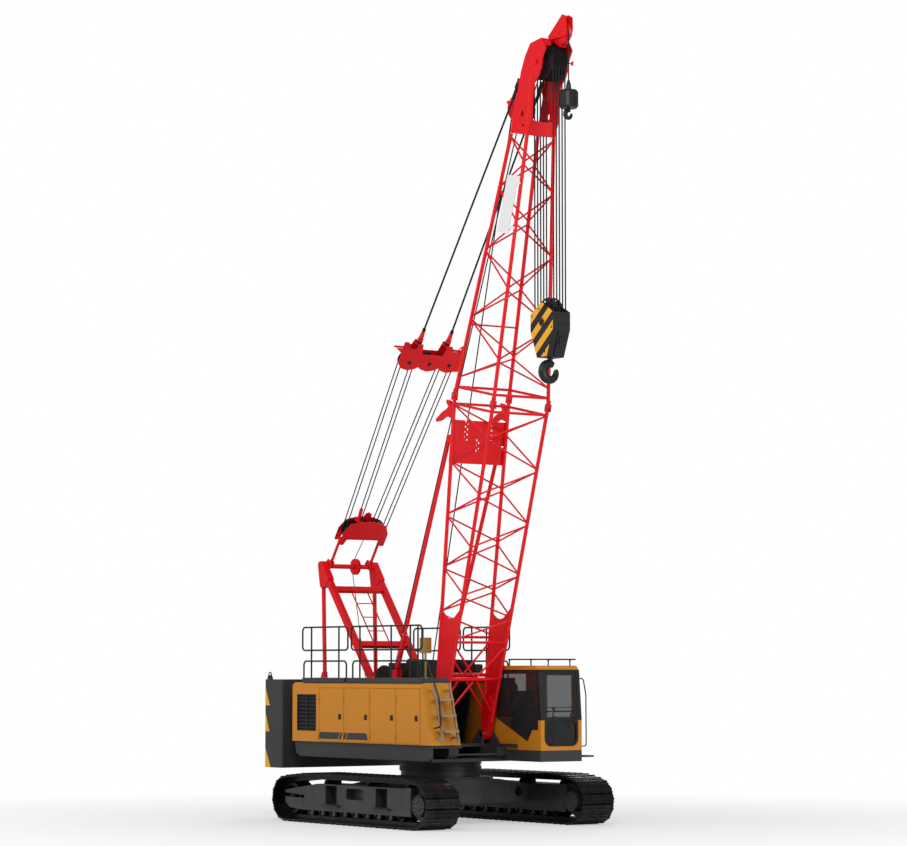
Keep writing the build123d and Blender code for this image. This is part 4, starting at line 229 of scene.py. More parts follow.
# Counterweight markings.  Each cast slab carries a yellow warning wedge at its rear corners, painted over the
# grey enamel; the wedge runs on round the corner as a slanted band across the bowed rear face.
merge_gap = 0.00005    # points closer than this are one point


def make_piece(name, verts, faces, finish, body, slot=None):
    """A scene piece from plain vertices and faces, with its finish and its body; the slot argument is not used."""
    mesh = bpy.data.meshes.new(name)
    mesh.from_pydata(verts, [], faces)
    work = bmesh.new()
    work.from_mesh(mesh)
    bmesh.ops.remove_doubles(work, verts=work.verts, dist=merge_gap)
    bmesh.ops.recalc_face_normals(work, faces=work.faces)
    work.to_mesh(mesh)
    work.free()
    mesh.materials.append(finishes[finish])
    made = bpy.data.objects.new(name, mesh)
    bpy.context.scene.collection.objects.link(made)
    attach(made, body)


def slab_of(outline, thick):
    """A plate between two copies of an outline: (vertices, faces).  thick is the offset of the second copy."""
    count = len(outline)
    verts = [Vector(point) for point in outline] + [Vector(point) + Vector(thick) for point in outline]
    faces = [tuple(range(count)), tuple(range(2 * count - 1, count - 1, -1))]
    faces += [(i, (i + 1) % count, (i + 1) % count + count, i + count) for i in range(count)]
    return verts, faces


def join_parts(parts):
    """One (vertices, faces) pair from several."""
    verts, faces = [], []
    for part_verts, part_faces in parts:
        faces += [tuple(i + len(verts) for i in face) for face in part_faces]
        verts += part_verts
    return verts, faces


weight_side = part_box("counterweight")[1].y
rear_x, corner_cut, rear_bow, bow_half = -4.110, 0.030, 0.17, 1.485
tail_x = rear_x + corner_cut
over_wedge, band_width, band_rise, band_steps = 0.04, 0.40, 0.30, 6
paint_side, paint_rear = 0.0012, 0.0022
off_side, off_rear, cut_in = 0.0004, 0.001, 0.0285    # off the side, off the rear, in from the side
wedges = []
# low edge, top of the slab, wedge height and length
for low, top, height, length in ((0.996, 1.69, 0.40, 0.24), (1.715, 2.22, 0.40, 0.19), (2.240, 2.757, 0.37, 0.20)):
    for side in (-1, 1):
        face = side * (weight_side + off_side)
        corner = [(tail_x, face, low), (tail_x + length - corner_cut, face, low), (tail_x, face, low + height)]
        wedges.append(slab_of(corner, (0, side * paint_side, 0)))
        edge_x, edge_y = rear_x - off_rear, side * (weight_side - cut_in)
        bevel = [(edge_x, edge_y, low), (tail_x, face, low), (tail_x, face, low + height),
                 (edge_x, edge_y, min(top, low + height + over_wedge))]
        wedges.append(slab_of(bevel, (-paint_side, side * paint_side, 0)))
        bow = []
        for step in range(band_steps + 1):
            y = weight_side - corner_cut - band_width * step / band_steps
            x = rear_x - rear_bow * (1 - (y / bow_half) ** 2)
            rise = band_rise * step / band_steps
            bow.append((x, side * y, min(top, low + rise), min(top, low + height + over_wedge + rise)))
        for here, there in zip(bow, bow[1:]):
            band = [(here[0], here[1], here[2]), (there[0], there[1], there[2]), (there[0], there[1], there[3]),
                    (here[0], here[1], here[3])]
            if there[3] > there[2] + 0.01:
                wedges.append(slab_of(band, (-paint_rear, 0, 0)))
make_piece("counterweight_warning_wedges", *join_parts(wedges), "warning_yellow", "upper", "amber_paint")

# Lifting shackles.  A bow shackle of forged steel stands at each of the two eyes on top of the counterweight; it
# is drawn as a closed ring in the plane of the eye plate, and its lower half runs into the plate.
bow_steps, bar_sides, bar_radius = 24, 8, 0.011
bow_reach, bow_drop, eye_x, eye_y, eye_z = 0.052, 0.062, -4.010, 1.420, 2.846
shackles = []
for side in (-1, 1):
    for step in range(bow_steps):
        ring = []
        for turn in (step, step + 1):
            angle = 2 * pi * turn / bow_steps
            middle = Vector((eye_x + bow_reach * sin(angle), side * eye_y, eye_z + bow_drop * cos(angle)))
            out = Vector((sin(angle), 0, cos(angle)))
            ring.append([middle + out * (bar_radius * cos(2 * pi * k / bar_sides))
                         + Vector((0, bar_radius * sin(2 * pi * k / bar_sides), 0)) for k in range(bar_sides)])
        shackles.append((ring[0] + ring[1], [(k, (k + 1) % bar_sides, (k + 1) % bar_sides + bar_sides, k + bar_sides)
                                             for k in range(bar_sides)]))
make_piece("counterweight_shackles", *join_parts(shackles), "black_paint", "upper")

# Wire ropes.  Six-strand galvanised steel rope, greased nearly black, laid up right-handed: a lobed section is
# drawn along each run and turned by the lay, so that the strands stand out.
def open_tree(name, inlet, settings, outlet):
    """A Geometry Nodes tree with one geometry in and out, and the identifiers of its named settings.  A setting
    without a value is a material."""
    tree = bpy.data.node_groups.new(name, "GeometryNodeTree")
    tree.interface.new_socket(inlet, in_out="INPUT", socket_type="NodeSocketGeometry")
    identifiers = {}
    for label, value in settings:
        kind = "NodeSocketMaterial" if value is None else "NodeSocketFloat"
        socket = tree.interface.new_socket(label, in_out="INPUT", socket_type=kind)
        if value is not None:
            socket.default_value = value
        identifiers[label] = socket.identifier
    tree.interface.new_socket(outlet, in_out="OUTPUT", socket_type="NodeSocketGeometry")
    return tree, identifiers


lay_up, rope_inputs = open_tree("rope_lay_up", "Run", (("Radius", 0.011), ("Strand depth", 0.16), ("Lay length", 0.20),
                                                       ("Step", 0.018), ("Finish", None)), "Rope")
lay_in = add_node(lay_up, "NodeGroupInput")
lay_out = add_node(lay_up, "NodeGroupOutput")
as_curve = add_node(lay_up, "GeometryNodeMeshToCurve")
even = add_node(lay_up, "GeometryNodeResampleCurve", mode="LENGTH")
along = add_node(lay_up, "GeometryNodeSplineParameter")
turns = add_node(lay_up, "ShaderNodeMath", operation="DIVIDE")
angle_of = add_node(lay_up, "ShaderNodeMath", {1: 2 * pi}, operation="MULTIPLY")
twist = add_node(lay_up, "GeometryNodeSetCurveTilt")
section = add_node(lay_up, "GeometryNodeCurveStar", {"Points": 6})
hollow = add_node(lay_up, "ShaderNodeMath", {0: 1.0}, operation="SUBTRACT")
inner = add_node(lay_up, "ShaderNodeMath", operation="MULTIPLY")
sweep = add_node(lay_up, "GeometryNodeCurveToMesh", {"Fill Caps": True})
real = add_node(lay_up, "GeometryNodeRealizeInstances")
coat = add_node(lay_up, "GeometryNodeSetMaterial")
wire(lay_up, (
    (lay_in.outputs["Run"], as_curve.inputs["Mesh"]), (as_curve.outputs[0], even.inputs["Curve"]),
    (lay_in.outputs["Step"], even.inputs["Length"]), (even.outputs[0], twist.inputs["Curve"]),
    (along.outputs["Length"], turns.inputs[0]), (lay_in.outputs["Lay length"], turns.inputs[1]),
    (turns.outputs[0], angle_of.inputs[0]), (angle_of.outputs[0], twist.inputs["Tilt"]),
    (lay_in.outputs["Strand depth"], hollow.inputs[1]), (hollow.outputs[0], inner.inputs[0]),
    (lay_in.outputs["Radius"], inner.inputs[1]), (lay_in.outputs["Radius"], section.inputs["Outer Radius"]),
    (inner.outputs[0], section.inputs["Inner Radius"]), (twist.outputs[0], sweep.inputs["Curve"]),
    (section.outputs[0], sweep.inputs["Profile Curve"]), (sweep.outputs[0], real.inputs[0]),
    (real.outputs[0], coat.inputs["Geometry"]), (lay_in.outputs["Finish"], coat.inputs["Material"]),
    (coat.outputs[0], lay_out.inputs[0])))


def grow(name, tree, inputs, values, verts, edges, attributes=()):
    """Runs one node tree over a set of points and returns a plain mesh object."""
    seed = bpy.data.meshes.new(name + "_seed")
    seed.from_pydata(verts, edges, [])
    for label, rows in attributes:
        store = seed.attributes.new(label, "FLOAT_VECTOR", "POINT")
        store.data.foreach_set("vector", [number for row in rows for number in row])
    holder = bpy.data.objects.new(name + "_seed", seed)
    bpy.context.scene.collection.objects.link(holder)
    step = holder.modifiers.new("build", "NODES")
    step.node_group = tree
    for label, value in values.items():
        step[inputs[label]] = value
    bpy.context.view_layer.update()
    grown = bpy.data.meshes.new_from_object(holder.evaluated_get(bpy.context.evaluated_depsgraph_get()))
    holder.modifiers.remove(step)
    bpy.data.objects.remove(holder)
    grown.name = name
    work = bmesh.new()
    work.from_mesh(grown)
    bmesh.ops.remove_doubles(work, verts=work.verts, dist=merge_gap)
    bmesh.ops.recalc_face_normals(work, faces=work.faces)
    work.to_mesh(grown)
    work.free()
    made = bpy.data.objects.new(name, grown)
    bpy.context.scene.collection.objects.link(made)
    return made


lay_per_radius = 17    # rope radii to one full turn of the strands


def lay_rope(name, runs, radius, closed=False, depth=0.16, step=0.018):
    """Ropes along the given runs as one object; depth is the share of the radius that the strands are cut in."""
    verts, edges = [], []
    for run in runs:
        first = len(verts)
        verts += [tuple(point) for point in run]
        edges += [(first + i, first + i + 1) for i in range(len(run) - 1)]
        if closed:
            edges.append((len(verts) - 1, first))
    return grow(name, lay_up, rope_inputs, {"Radius": radius, "Strand depth": depth, "Step": step,
                                            "Lay length": radius * lay_per_radius,
                                            "Finish": finishes["wire_rope"]}, verts, edges)


def arc(centre, radius, y, start, end, count=20):
    """Points of an arc in a plane across the machine, angles in degrees from ahead, rising upwards."""
    return [(centre[0] + radius * cos(radians(start + (end - start) * i / count)), y,
             centre[1] + radius * sin(radians(start + (end - start) * i / count))) for i in range(count + 1)]


# Main hoist falls.  Ten parts of rope in five loops between the head sheaves and the main block; they hang
# plumb from the head shaft, so they swing with the block.
head_x, head_z, fall_reach, block_z = 3.583, 14.350, 0.292, 9.433
main_pitch, main_radius = 0.069, 0.0140
falls = [arc((head_x, head_z), fall_reach, main_pitch * k, 0, 180)
         + arc((head_x, block_z), fall_reach, main_pitch * k, 180, 360) for k in (-2, -1, 0, 1, 2)]
main_falls = lay_rope("main_hoist_falls", falls, main_radius, closed=True)
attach(main_falls, "hook_block")

# Auxiliary rope.  One part comes off the tip sheave into the rope socket on top of the round weight.
tip_x, tip_z, tip_reach, socket_z, hoist_radius = 3.980, 14.850, 0.190, 13.90, 0.0130
single = [arc((tip_x, tip_z), tip_reach, 0.0, 175, 0) + [(tip_x + tip_reach, 0.0, socket_z)]]
auxiliary_rope = lay_rope("auxiliary_rope", single, hoist_radius)
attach(auxiliary_rope, "auxiliary_weight")

# Ropes along the head.  The auxiliary rope runs back over the head to its guide sheave, and the main rope
# comes off the rear of the head sheaves to the other one.
guide_x, guide_z, guide_r = 2.793, 13.558, 0.186
over_head = [[(tip_x - 0.189, 0.0, tip_z + 0.014), (3.30, 0.020, 14.30), (guide_x + 0.12, 0.060, guide_z + 0.142)]
             + arc((guide_x, guide_z), guide_r, 0.060, 40, 168, 10),
             [(head_x - 0.21, -0.138, head_z + 0.205), (guide_x + 0.02, -0.150, guide_z + 0.186)]
             + arc((guide_x, guide_z), guide_r, -0.150, 80, 168, 8)]
head_ropes = lay_rope("head_ropes", over_head, 0.0105)
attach(head_ropes, "boom")

# Hoist lines.  The two steel ropes run down behind the boom's centre from the guide sheaves to the hoist drums;
# each is drawn as one straight run and is not attached to a body.
leave_angle, line_steps = radians(12), 60
# name, side of the centre, point on the drum, share of the length that bends
for name, y, drum_side, hold in (("auxiliary_hoist_line", 0.060, (-1.715, 0.0, 2.70), 0.2),
                                 ("main_hoist_line", -0.150, (-0.365, 0.0, 2.72), 0.16)):
    top = Vector((guide_x - guide_r * cos(leave_angle), y, guide_z + guide_r * sin(leave_angle)))
    foot = Vector(drum_side)
    line = lay_rope(name, [[foot + (top - foot) * i / line_steps for i in range(line_steps + 1)]], hoist_radius)
    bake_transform(line)

# Rope on the drums.  Each drum is wound with one even layer of its steel rope between its flanges.
wrap_pitch, turn_steps, wound_radius = 0.0235, 18, 0.0112
# name, body, axle (x, z), coil radius, half length
for name, body, centre, radius, half in (
        ("main_drum_winding", "main_hoist_drum", (-0.09, 2.70), 0.281, 0.345),
        ("auxiliary_drum_winding", "auxiliary_hoist_drum", (-1.49, 2.68), 0.236, 0.305),
        ("boom_hoist_winding", "boom_hoist_drum", (-2.48, 2.42), 0.211, 0.285)):
    wraps = int(2 * half / wrap_pitch)
    coil = [(centre[0] + radius * cos(2 * pi * i / turn_steps), -half + 2 * half * i / (turn_steps * wraps),
             centre[1] + radius * sin(2 * pi * i / turn_steps)) for i in range(turn_steps * wraps + 1)]
    winding = lay_rope(name, [coil], wound_radius, depth=0.10, step=0.085)
    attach(winding, body)

# Boom hoist falls.  Eight parts of steel rope between the lower block on the gantry and the upper block on the
# pendants.  One set follows each block, and at rest the two sets lie on each other.
shaft = Vector((-3.24, 0.0, 5.06))
line_way, line_out = Vector((0.5690, 0.0, 0.8223)), Vector((0.8223, 0.0, -0.5690))
lower_reach, upper_reach, layer_half = 0.915, 4.850, 0.060
for name, body, radius in (("lower_block_falls", "lower_hoist_block", 0.0120),
                           ("upper_block_falls", "spreader", 0.0115)):
    runs = []
    for low_y, high_y in ((-0.478, -0.623), (-0.182, -0.327), (0.182, 0.327), (0.478, 0.623)):
        for layer in (-layer_half, layer_half):
            runs.append([shaft + line_way * lower_reach + line_out * layer + Vector((0, low_y, 0)),
                         shaft + line_way * upper_reach + line_out * layer + Vector((0, high_y, 0))])
    set_of_falls = lay_rope(name, runs, radius)
    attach(set_of_falls, body)

# Lead line.  The end of the boom hoist's steel rope leaves the lower block over the sheave on the gantry's shaft.
lead_sheave, lead_y, lead_radius = (-3.24, 5.06), 0.14, 0.0085
lead_top = shaft + line_way * 0.80 + Vector((0, 0.10, 0))
lead_run = [lead_top] + [Vector(p) for p in arc(lead_sheave, 0.128, lead_y, 145, 185, 8)]
lead = lay_rope("boom_hoist_lead", [lead_run], lead_radius)
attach(lead, "lower_hoist_block")

# Drop line.  The same steel rope goes on from the lead sheave down to the boom hoist drum.
drop_run = arc(lead_sheave, 0.1275, lead_y, 160, 196, 8) + [(-2.675, 0.06, 2.50)]
drop = lay_rope("boom_hoist_drop", [drop_run], lead_radius)
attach(drop, "upper")

# Main block markings.  The cheeks wear slanted warning bars in yellow over black enamel; the bars rise towards
# the front.
cheek_y = 0.200
block_points = [vertex.co for vertex in frame["nodes"]["hook_block"].data.vertices]
rim = sorted({(round(point.x, 4), round(point.z, 4)) for point in block_points if abs(point.y + cheek_y) < 0.0012})


def hull(points):
    """The outline round a set of points, counter-clockwise."""
    halves = []
    for ordered in (points, points[::-1]):
        half = []
        for point in ordered:
            while len(half) > 1 and ((half[-1][0] - half[-2][0]) * (point[1] - half[-2][1])
                                     - (half[-1][1] - half[-2][1]) * (point[0] - half[-2][0])) <= 0:
                half.pop()
            half.append(point)
        halves += half[:-1]
    return halves


def clip(outline, a, b, c):
    """The part of an outline where a * x + b * z <= c."""
    kept = []
    for here, there in zip(outline, outline[1:] + outline[:1]):
        d_here, d_there = a * here[0] + b * here[1] - c, a * there[0] + b * there[1] - c
        if d_here <= 0:
            kept.append(here)
        if d_here * d_there < 0:
            share = d_here / (d_here - d_there)
            kept.append((here[0] + share * (there[0] - here[0]), here[1] + share * (there[1] - here[1])))
    return kept


cheek_outline = hull(rim)
middle_x = sum(x for x, z in cheek_outline) / len(cheek_outline)
middle_z = sum(z for x, z in cheek_outline) / len(cheek_outline)
inset = 0.985
cheek_outline = [(middle_x + inset * (x - middle_x), middle_z + inset * (z - middle_z)) for x, z in cheek_outline]
bars = []
slope, pitch, bar_height = 0.82, 0.355, 0.175
for step in range(-4, 4):
    level = block_z - slope * head_x + step * pitch
    bar = clip(clip(cheek_outline, -slope, 1.0, level + bar_height / 2), slope, -1.0, bar_height / 2 - level)
    if len(bar) > 2:
        for side in (-1, 1):
            bars.append(slab_of([(x, side * (cheek_y + 0.0003), z) for x, z in bar], (0, side * 0.0010, 0)))
make_piece("main_block_bars", *join_parts(bars), "warning_yellow", "hook_block", "amber_paint")


# Door band.  A dark blank band with slanted gaps is painted low across the first two doors of the right hood;
# each door carries its own share of it, so it parts when a door opens.
band_low, band_high, door_face = 1.600, 1.735, -1.4004
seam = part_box("hood_door_right_1")[1].x + 0.032
# each share: lower rear, upper rear, lower front and upper front corner
for name, body, shares in (
        ("door_band_1", "hood_door_right_1", ((-2.180, -2.180, -1.520, -1.425), (-1.495, -1.400, -1.395, -1.335))),
        ("door_band_2", "hood_door_right_2", ((seam, seam, -1.250, -1.165), (-1.225, -1.140, -0.440, -0.505)))):
    strips = []
    for low_rear, high_rear, low_front, high_front in shares:
        strip = [(low_rear, door_face, band_low), (low_front, door_face, band_low),
                 (high_front, door_face, band_high), (high_rear, door_face, band_high)]
        strips.append(slab_of(strip, (0, -0.0008, 0)))
    make_piece(name, *join_parts(strips), "dark_grey_paint", body)

# Door latches.  A black moulded cup sits in each door's recess, with a paddle handle and a small lock barrel.
for node in [f"hood_door_right_{i}" for i in (1, 2, 3, 4)] + [f"hood_door_left_{i}" for i in (1, 2, 3)]:
    side = -1 if "right" in node else 1
    latch_x, latch_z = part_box(node)[1].x - 0.120, 2.040
    parts = []
    # half width, half height, near and far face, shift forward: cup, paddle, lock barrel
    for half_x, half_z, near, far, shift in ((0.053, 0.053, 1.3912, 1.3935, 0.0),
                                             (0.040, 0.020, 1.4032, 1.4075, -0.005),
                                             (0.008, 0.008, 1.3935, 1.3985, 0.043)):
        corner = min(half_x, half_z) * 0.4
        plate = []
        for sx, sz, first in ((1, 1, 0), (-1, 1, 90), (-1, -1, 180), (1, -1, 270)):
            for k in range(4):
                turn = radians(first + 30 * k)
                plate.append((latch_x + shift + sx * (half_x - corner) + corner * cos(turn), side * near,
                              latch_z + sz * (half_z - corner) + corner * sin(turn)))
        parts.append(slab_of(plate, (0, side * (far - near), 0)))
    make_piece("latch_of_" + node, *join_parts(parts), "black_plastic", node)

# Cab trims.  The steel of the cab's front frame is black from the belt up; a bonded black edge runs round the
# windscreen and the toe window, and two slim rails cross the screen behind the wiper.
belt, brow, rake = 2.000, 2.930, 0.075
proud, sheet = 0.0006, 0.0022    # how far a trim stands off the steel, and its thickness


def front_x(z):
    """The cab's front face at a height: upright below the belt, leaning back above it."""
    return 2.350 - rake * max(0.0, (z - belt) / (brow - belt))


def rounded(y_low, y_high, z_low, z_high, low_corner, high_corner, lift):
    """A rectangle with rounded corners on the cab's front face, moved forward by lift."""
    steps = 8
    loop = []
    for y, z, corner, first in ((y_high, z_high, high_corner, 0), (y_low, z_high, high_corner, 90),
                                (y_low, z_low, low_corner, 180), (y_high, z_low, low_corner, 270)):
        for k in range(steps + 1):
            turn = radians(first + 90 * k / steps)
            across = y + corner * (cos(turn) - (1 if y == y_high else -1))
            up = z + corner * (sin(turn) - (1 if z == z_high else -1))
            loop.append((front_x(up) + lift, across, up))
    return loop


def ring_of(outer, inner_loop, thick):
    """A flat ring between two loops with the same number of points."""
    count = len(outer)
    shift = Vector((thick, 0, 0))
    verts = [Vector(p) for p in outer] + [Vector(p) for p in inner_loop]
    verts += [p + shift for p in verts]
    faces = []
    for i in range(count):
        j = (i + 1) % count
        faces += [(i, j, count + j, count + i), (2 * count + i, 2 * count + j, 3 * count + j, 3 * count + i),
                  (i, j, 2 * count + j, 2 * count + i), (count + i, count + j, 3 * count + j, 3 * count + i)]
    return verts, faces


def bar_of(low_corner, high_corner, bevel=0.0):
    """A box between two corners; a bevel takes off its four long edges."""
    (x0, y0, z0), (x1, y1, z1) = low_corner, high_corner
    base = [(x0 + bevel, y0, z0), (x1 - bevel, y0, z0), (x1, y0, z0 + bevel), (x1, y0, z1 - bevel),
            (x1 - bevel, y0, z1), (x0 + bevel, y0, z1), (x0, y0, z1 - bevel), (x0, y0, z0 + bevel)]
    return slab_of(base if bevel else [base[0], base[1], base[4], base[5]], (0, y1 - y0, 0))


def front_band(y_low, y_high, z_low, z_high):
    """A flat black sheet on the front face."""
    foot, top = front_x(z_low) + proud, front_x(z_high) + proud
    return slab_of([(foot, y_low, z_low), (foot, y_high, z_low), (top, y_high, z_high), (top, y_low, z_high)],
                   (sheet, 0, 0))


trims = [front_band(0.6850, 0.7605, belt, brow), front_band(1.5845, 1.6600, belt, brow),
         front_band(0.760, 1.585, 2.914, brow)]
brow_strip = [(2.2756, 0.6855, brow), (2.2756, 1.6595, brow), (2.2562, 1.6595, 2.9600), (2.2562, 0.6855, 2.9600)]
trims.append(slab_of(brow_strip, (0.0018, 0, 0.0012)))
pillar = [(2.3515, belt), (2.2770, brow), (2.2575, 2.960), (0.8450, 2.960), (0.8450, 2.925), (2.1840, 2.925),
          (2.2600, belt)]
trims.append(slab_of([(x, 0.6846, z) for x, z in pillar], (0, -0.0018, 0)))
trims.append(ring_of(rounded(0.770, 1.575, 1.505, 1.999, 0.150, 0.030, proud),
                     rounded(0.818, 1.527, 1.533, 1.982, 0.108, 0.108, proud), 0.0035))
trims.append(ring_of(rounded(0.7605, 1.5845, 2.031, 2.914, 0.010, 0.010, -0.016),
                     rounded(0.830, 1.530, 2.062, 2.880, 0.030, 0.030, -0.016), 0.003))
# liners inside both openings, and the black sill between them
cab_span, liner = 2.345, 0.004    # sum of the openings' two side edges, and the liners' thickness
for low_z, high_z, edge, y_edge in ((2.0315, 2.9140, 0.008, 0.7605), (1.5310, 1.9840, 0.108, 0.8155)):
    trims.append(ring_of(rounded(y_edge, cab_span - y_edge, low_z, high_z, edge, edge, -0.044),
                         rounded(y_edge + liner, cab_span - liner - y_edge, low_z + liner, high_z - liner, edge,
                                 edge, -0.044), 0.0435))
trims.append(front_band(0.7700, 1.5750, 1.9850, 2.0000))
trims.append(front_band(0.7600, 1.5850, 2.0000, 2.0310))
for z, tall in ((2.170, 0.026), (2.245, 0.014)):
    trims.append(bar_of((front_x(z) - 0.020, 0.762, z - tall / 2), (front_x(z) - 0.006, 1.583, z + tall / 2), 0.003))
make_piece("cab_front_trims", *join_parts(trims), "black_paint", "upper")

# Wiper.  One pantograph wiper parks along the left edge of the windscreen; its motor boss is on the sill.
wiper = [bar_of((front_x(2.05) + 0.004, 1.470, 2.020), (front_x(2.05) + 0.030, 1.530, 2.060), 0.006)]
for lift, half, low_z, high_z, y_low, y_high in ((0.012, 0.005, 2.045, 2.560, 1.500, 1.478),
                                                 (0.006, 0.004, 2.250, 2.860, 1.484, 1.472)):
    face = [(front_x(low_z) + lift, y_low - half, low_z), (front_x(low_z) + lift, y_low + half, low_z),
            (front_x(high_z) + lift, y_high + half, high_z), (front_x(high_z) + lift, y_high - half, high_z)]
    wiper.append(slab_of(face, (0.009, 0, 0)))
make_piece("windscreen_wiper", *join_parts(wiper), "black_plastic", "upper")

# Door handle.  A black pull handle on a backplate, with its lock, near the cab door's front edge.
door_skin = 1.6602
handle = [bar_of((1.980, door_skin, 2.030), (2.120, door_skin + 0.006, 2.130), 0.010),
          bar_of((1.995, door_skin + 0.006, 2.092), (2.105, door_skin + 0.020, 2.112), 0.005),
          bar_of((1.995, door_skin + 0.006, 2.048), (2.020, door_skin + 0.012, 2.072), 0.004)]
make_piece("cab_door_handle", *join_parts(handle), "black_plastic", "cab_door")

# Hub bolts.  Painted hexagon bolts on washers close the covers of the drive sprockets and idlers.  One small tree
# sets a bolt on each marked point, turned to the face that it holds.
bolting, bolt_inputs = open_tree("bolting", "Places", (("Head radius", 0.016), ("Head height", 0.012),
                                                       ("Finish", None)), "Bolts")
bolt_in = add_node(bolting, "NodeGroupInput")
bolt_out = add_node(bolting, "NodeGroupOutput")
head = add_node(bolting, "GeometryNodeMeshCylinder", {"Vertices": 6})
washer = add_node(bolting, "GeometryNodeMeshCylinder", {"Vertices": 14})
wide = add_node(bolting, "ShaderNodeMath", {1: 1.45}, operation="MULTIPLY")
thin = add_node(bolting, "ShaderNodeMath", {1: 0.28}, operation="MULTIPLY")
rise = add_node(bolting, "ShaderNodeMath", {1: 0.62}, operation="MULTIPLY")
lift_by = add_node(bolting, "ShaderNodeCombineXYZ")
lift_head = add_node(bolting, "GeometryNodeTransform")
both = add_node(bolting, "GeometryNodeJoinGeometry")
spots = add_node(bolting, "GeometryNodeMeshToPoints")
facing = add_node(bolting, "GeometryNodeInputNamedAttribute", {"Name": "facing"}, data_type="FLOAT_VECTOR")
aim_at = add_node(bolting, "FunctionNodeAlignRotationToVector", axis="Z")
put = add_node(bolting, "GeometryNodeInstanceOnPoints")
solid = add_node(bolting, "GeometryNodeRealizeInstances")
bolt_coat = add_node(bolting, "GeometryNodeSetMaterial")
wire(bolting, (
    (bolt_in.outputs["Head radius"], head.inputs["Radius"]), (bolt_in.outputs["Head height"], head.inputs["Depth"]),
    (bolt_in.outputs["Head radius"], wide.inputs[0]), (wide.outputs[0], washer.inputs["Radius"]),
    (bolt_in.outputs["Head height"], thin.inputs[0]), (thin.outputs[0], washer.inputs["Depth"]),
    (bolt_in.outputs["Head height"], rise.inputs[0]), (rise.outputs[0], lift_by.inputs["Z"]),
    (head.outputs["Mesh"], lift_head.inputs["Geometry"]), (lift_by.outputs[0], lift_head.inputs["Translation"]),
    (lift_head.outputs[0], both.inputs[0]), (washer.outputs["Mesh"], both.inputs[0]),
    (bolt_in.outputs["Places"], spots.inputs[0]), (facing.outputs[0], aim_at.inputs["Vector"]),
    (spots.outputs[0], put.inputs["Points"]), (both.outputs[0], put.inputs["Instance"]),
    (aim_at.outputs[0], put.inputs["Rotation"]), (put.outputs[0], solid.inputs[0]),
    (solid.outputs[0], bolt_coat.inputs["Geometry"]), (bolt_in.outputs["Finish"], bolt_coat.inputs["Material"]),
    (bolt_coat.outputs[0], bolt_out.inputs[0])))

surface = {}


def touch(node, start, way):
    """The point where a ray meets a CAD piece, or None."""
    if node not in surface:
        mesh = frame["nodes"][node].data
        surface[node] = BVHTree.FromPolygons([v.co for v in mesh.vertices], [p.vertices for p in mesh.polygons])
    return surface[node].ray_cast(Vector(start), Vector(way))[0]


def seats_on(node, starts, side):
    """Bolt seats where rays from one side of the machine meet a piece: (point, outward way)."""
    hits = [touch(node, start, (0, -side, 0)) for start in starts]
    return [(hit, (0, side, 0)) for hit in hits if hit is not None]


def set_bolts(name, body, finish, places, radius, height):
    """A bolt on each place: (point on the surface, outward way)."""
    made = grow(name, bolting, bolt_inputs, {"Head radius": radius, "Head height": height, "Finish": finishes[finish]},
                [tuple(point) for point, way in places], [], [("facing", [tuple(way) for point, way in places])])
    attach(made, body)


hub_places = []
for side in (-1, 1):
    # node, middle of the ring (x, z), ring radius, bolts
    for node, x, z, ring_radius, count in (("drive_sprockets", 2.2585, 0.450, 0.175, 14),
                                           ("drive_sprockets", 2.2585, 0.450, 0.085, 6),
                                           ("idler_wheels", -2.256, 0.450, 0.075, 6)):
        turns_round = [2 * pi * (k + 0.5) / count for k in range(count)]
        starts = [(x + ring_radius * cos(turn), side * 2.4, z + ring_radius * sin(turn)) for turn in turns_round]
        hub_places += seats_on(node, starts, side)
set_bolts("hub_bolts", "undercarriage", "undercarriage_paint", hub_places, 0.017, 0.014)

# Main block bolts.  Black hexagon bolts hold the hub plate in a ring of eight, and eight more clamp each cheek of
# the block to its spacers.
hub_ring, cheek_bolts = 0.068, ((-0.30, 0.13), (0.30, 0.13), (-0.30, -0.12), (0.30, -0.12), (-0.09, -0.56),
                                (0.09, -0.56), (-0.10, 0.26), (0.10, 0.26))
block_places = []
for side in (-1, 1):
    turns_round = [2 * pi * k / 8 + 0.2 for k in range(8)]
    starts = [(head_x + hub_ring * cos(turn), side * 0.5, block_z + hub_ring * sin(turn)) for turn in turns_round]
    starts += [(head_x + x, side * 0.5, block_z + z) for x, z in cheek_bolts]
    block_places += seats_on("hook_block", starts, side)
set_bolts("main_block_bolts", "hook_block", "black_paint", block_places, 0.013, 0.011)

# Hood screws.  Small painted screws hold the hood sheets to their frames between the doors, high and low.
hood_face = 1.4
screw_places = []
for side, node in ((-1, "hood_right"), (1, "hood_left")):
    starts = [(x, side * 1.6, z) for x in (-3.10, -2.26, -1.325, -0.405, 0.495) for z in (1.60, 2.62)]
    screw_places += [(hit, way) for hit, way in seats_on(node, starts, side) if abs(abs(hit.y) - hood_face) < 0.004]
set_bolts("hood_panel_screws", "upper", "amber_paint", screw_places, 0.009, 0.006)

# Shoe bolts.  Eight hexagon bolts hold each cast shoe to its two chain links, four on each side of the shoe's
# rib; the loop of sixty shoes is laid out the way the chain runs round sprocket and idler.  The shoes on the
# ground are left without bolts.
shoe_count, shoe_plate, grouser, wheel_x, wheel_loop, track_height = 60, 0.034, 0.020, 2.256, 0.450, 0.970


